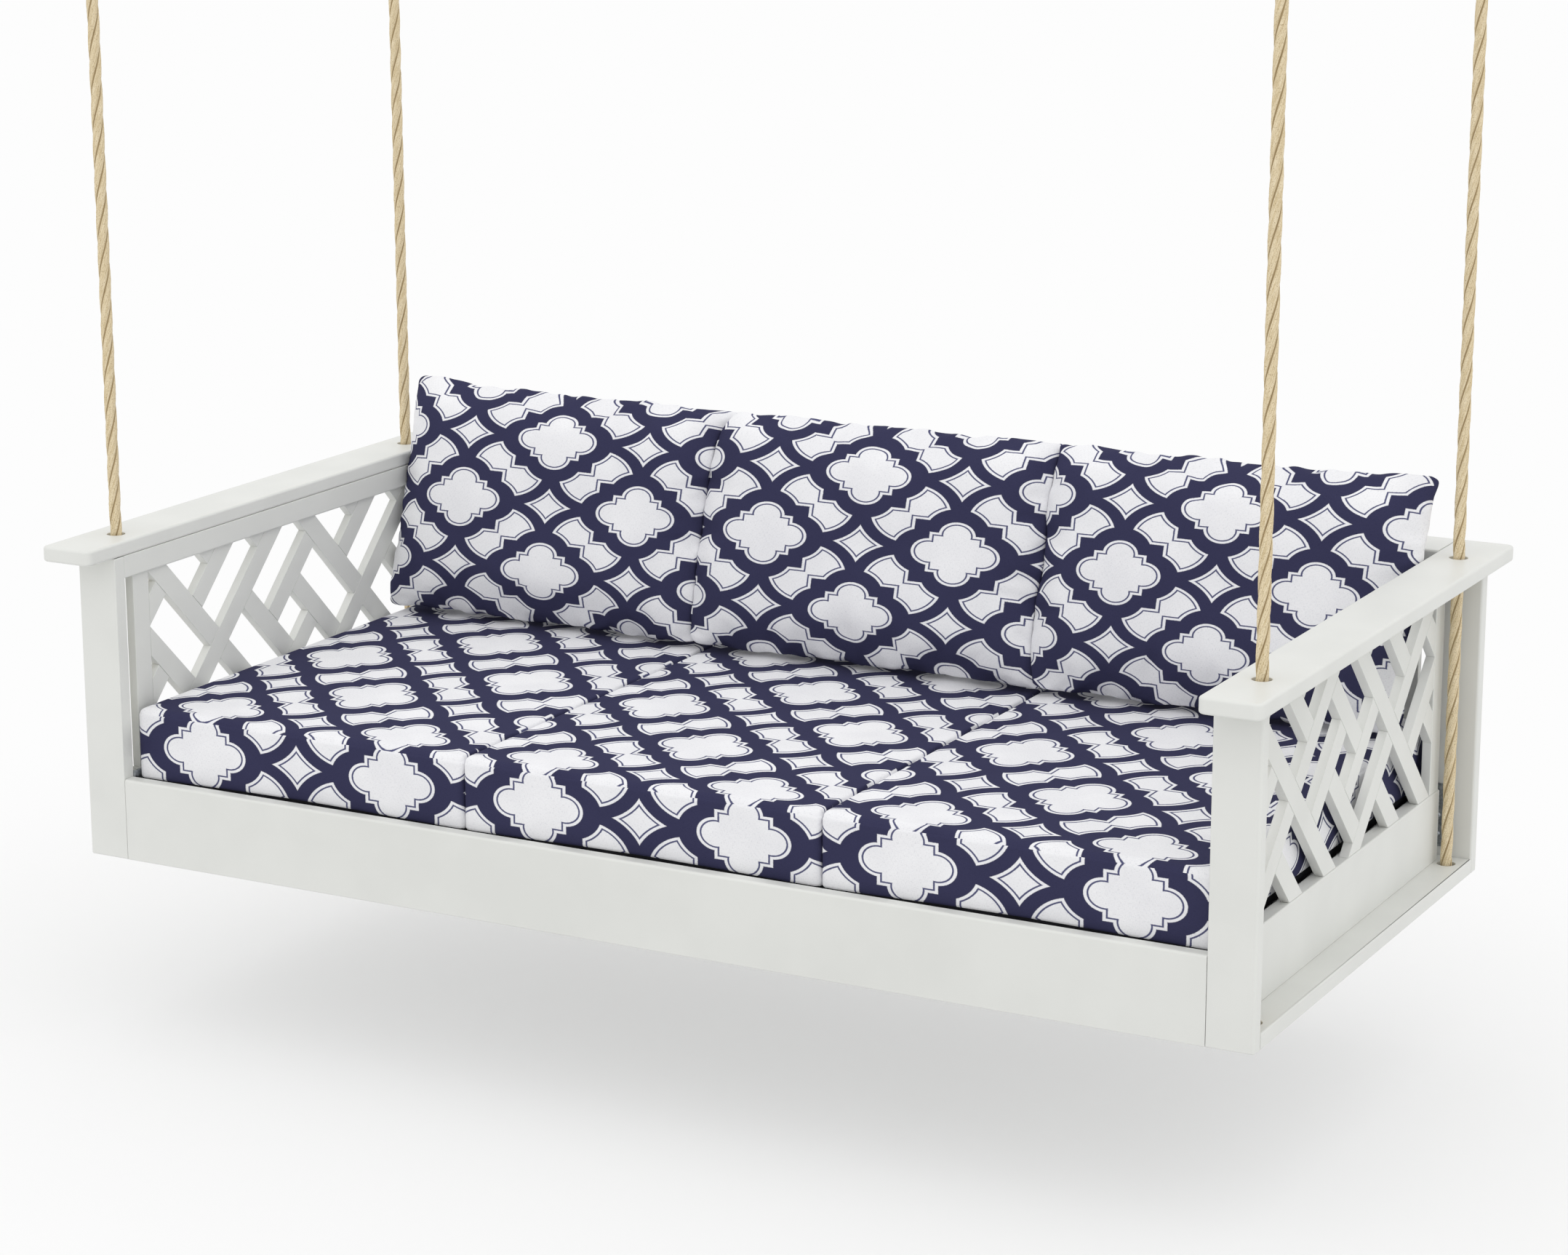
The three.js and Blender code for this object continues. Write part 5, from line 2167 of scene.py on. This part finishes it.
    def _leaned(self, places: Array, low: Array, high: Array) -> Array:
        """Stands a pillow up and leans it back, on the seat and against the cap board.

        Args:
            places: the pillow's points, lying flat.
            low, high: the box that its frame solid fills.

        Returns:
            The new points.
        """
        turn = np.array(Matrix.Rotation(math.pi / 2 - self.lean, 3, "X"))
        foot_y, foot_z = self._foot(low, high)
        standing = (places + (0, self.height / 2, 0)) @ turn.T
        standing += ((low[0] + high[0]) / 2, foot_y, foot_z - self.sunk)
        cap_low, cap_high = box_of("back_cap")
        arm_low, arm_high = box_of("arm_right")
        x, y, z = standing.T
        over_cap = np.maximum(z - cap_high[2] - self.over_wood, 0)
        y = np.minimum(y, cap_low[1] - self.cap_clearance + over_cap * 2)
        over_arm = np.clip((z - arm_high[2] - self.over_wood) / self.over_arm_rise, 0, 1)
        reach = arm_low[0] - self.wood_clearance + self.over_arm_reach * smooth_step(over_arm)
        x = np.clip(x, -reach, reach)
        seat_top = box_of("seat_cushion_left")[1][2] - self.sunk + self.seat_clearance
        return np.stack([x, y, np.maximum(z, seat_top)], -1)

    def _foot(self, low: Array, high: Array) -> tuple[float, float]:
        """Where a pillow's seam plane stands, from the frame solid's box and the same lean.

        Args:
            low, high: the box.

        Returns:
            The foot's y and z.
        """
        u, v = np.meshgrid(np.linspace(-1, 1, 41), np.linspace(-1, 1, 41))
        full = self.fullness(u, v, self.frame_power)
        rise = (v + 1) * self.height / 2
        sin, cos = math.sin(self.lean), math.cos(self.lean)
        front = self.frame_edge + (self.front_bulge - self.frame_edge) * full
        rear = self.frame_edge + (self.rear_bulge - self.frame_edge) * full
        return (low[1] - float(np.min(rise * sin - front * cos)),
                low[2] - float(np.min(rise * cos - rear * sin)))


# ---- studio


@dataclass
class Studio:
    """The camera, the soft light and the pale floor."""

    eye: tuple[float, float, float] = (2.939, -5.465, 0.2545)
    azimuth: float = math.radians(28.173)
    elevation: float = math.radians(14.0315)
    roll: float = math.radians(-0.105)
    lens: float = 89.02
    sensor: float = 36.0
    far_clip: float = 200.0
    floor_drop: float = 0.30
    floor_size: float = 90.0
    backdrop: float = 0.982
    floor_paint: float = 0.885
    floor_bounce: float = 0.82
    floor_glow: float = 0.44
    shadow_shape: tuple[float, float, float] = (0.72, 1.0, 0.0)
    shadow_reach: tuple[float, float] = (1.1, 1.95)
    sky: float = 1.0
    sun_power: float = 0.38
    sun_softness: float = math.radians(80)
    sun_tilt: tuple[float, float, float] = (math.radians(26), 0.0, math.radians(38))

    def set_camera(self) -> None:
        """Puts the camera at its eye, turned by its azimuth, elevation and roll."""
        data = bpy.data.cameras.new("camera")
        data.lens, data.sensor_width, data.sensor_fit = self.lens, self.sensor, "HORIZONTAL"
        data.clip_end = self.far_clip
        camera = bpy.data.objects.new("camera", data)
        bpy.context.scene.collection.objects.link(camera)
        turn = (Matrix.Rotation(self.azimuth, 4, "Z")
                @ Matrix.Rotation(math.pi / 2 - self.elevation, 4, "X")
                @ Matrix.Rotation(self.roll, 4, "Z"))
        camera.matrix_world = Matrix.Translation(self.eye) @ turn
        bpy.context.scene.camera = camera

    def _seen(self, recipe: Recipe) -> Signal:
        """Tells rays that show from rays that light.

        Args:
            recipe: the recipe.

        Returns:
            1 for rays from the camera or through gloss or glass, and 0 for light.
        """
        path = recipe.add("ShaderNodeLightPath", {}, {}, out="Is Camera Ray")
        outputs = path.socket.node.outputs
        gloss = Signal(recipe, outputs["Is Glossy Ray"])
        glass = Signal(recipe, outputs["Is Transmission Ray"])
        return path.greater(gloss).greater(glass)

    def set_world(self) -> None:
        """Lights all round with a plain sky, behind which the backdrop shows."""
        world = bpy.data.worlds.new("studio_sky")
        bpy.context.scene.world = world
        recipe = Recipe(world)
        shade = self._seen(recipe).blend(grey(self.sky), grey(self.backdrop))
        recipe.end_in(recipe.add("ShaderNodeBackground", {}, {"Color": shade, "Strength": 1.0}))

    def set_lamp(self) -> None:
        """Adds one broad lamp from above the front right."""
        data = bpy.data.lights.new("soft_lamp", "SUN")
        data.energy = self.sun_power
        data.angle = self.sun_softness
        lamp = bpy.data.objects.new("soft_lamp", data)
        bpy.context.scene.collection.objects.link(lamp)
        lamp.rotation_euler = self.sun_tilt

    def set_floor(self) -> None:
        """Lays a pale floor under the seat, which keeps part of its shadow."""
        half = self.floor_size / 2
        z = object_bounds()[0][2] - self.floor_drop
        line = np.linspace(-half, half, 3)
        x, y = np.meshgrid(line, line)
        points = np.stack([x, y, np.full(x.shape, z)], -1).reshape(-1, 3)
        recipe = Recipe.named("pale_floor")
        seen = self._seen(recipe)
        shade = seen.blend(grey(self.floor_bounce), grey(self.floor_paint))
        paint = recipe.add("ShaderNodeBsdfDiffuse", {}, {"Color": shade})
        glow_inputs = {"Color": grey(self.backdrop), "Strength": 1.0}
        glow = recipe.add("ShaderNodeEmission", {}, glow_inputs)
        away = recipe.add("ShaderNodeVectorMath", {"operation": "LENGTH"},
                          {0: recipe.places(self.shadow_shape)}, out="Value")
        share = seen * (away.rise(*self.shadow_reach) * (1.0 - self.floor_glow) + self.floor_glow)
        surface = recipe.add("ShaderNodeMixShader", {}, {0: share, 1: paint, 2: glow})
        floor = new_piece("floor", Surface(points, grid_faces(3, 3)), recipe.end_in(surface))
        floor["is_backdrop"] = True


# ---- the whole


def dress_angles(finishes: Finishes, frame: Mapping[str, Any]) -> None:
    """Plates the steel angles, whose frame solids have their final shape.

    Args:
        finishes: the materials.
        frame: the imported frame.
    """
    for corner in CORNERS:
        node = frame["nodes"][f"corner_angle_{corner.word}"]
        for slot in node.material_slots:
            slot.material = finishes.steel


def main() -> None:
    logging.basicConfig(level=logging.INFO, format="%(message)s")
    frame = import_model()
    bpy.context.scene.view_settings.view_transform = "Standard"
    studio = Studio()
    studio.set_camera()
    finishes = Finishes()
    rope, fittings, hangers = Rope(finishes), EyeFittings(finishes), Hangers(finishes)
    for corner in CORNERS:
        fittings.build(corner)
        rope.build(corner)
        hangers.build(corner)
    joiner, lattice = Joiner(finishes), Lattice()
    EndPanels(joiner, lattice).build()
    LongSides(joiner, lattice).build()
    SeatDeck(joiner).build()
    dress_angles(finishes, frame)
    upholsterer = Upholsterer(finishes)
    SeatCushions(upholsterer).build()
    BackCushions(upholsterer).build()
    studio.set_world()
    studio.set_lamp()
    studio.set_floor()


if __name__ == "__main__":
    main()
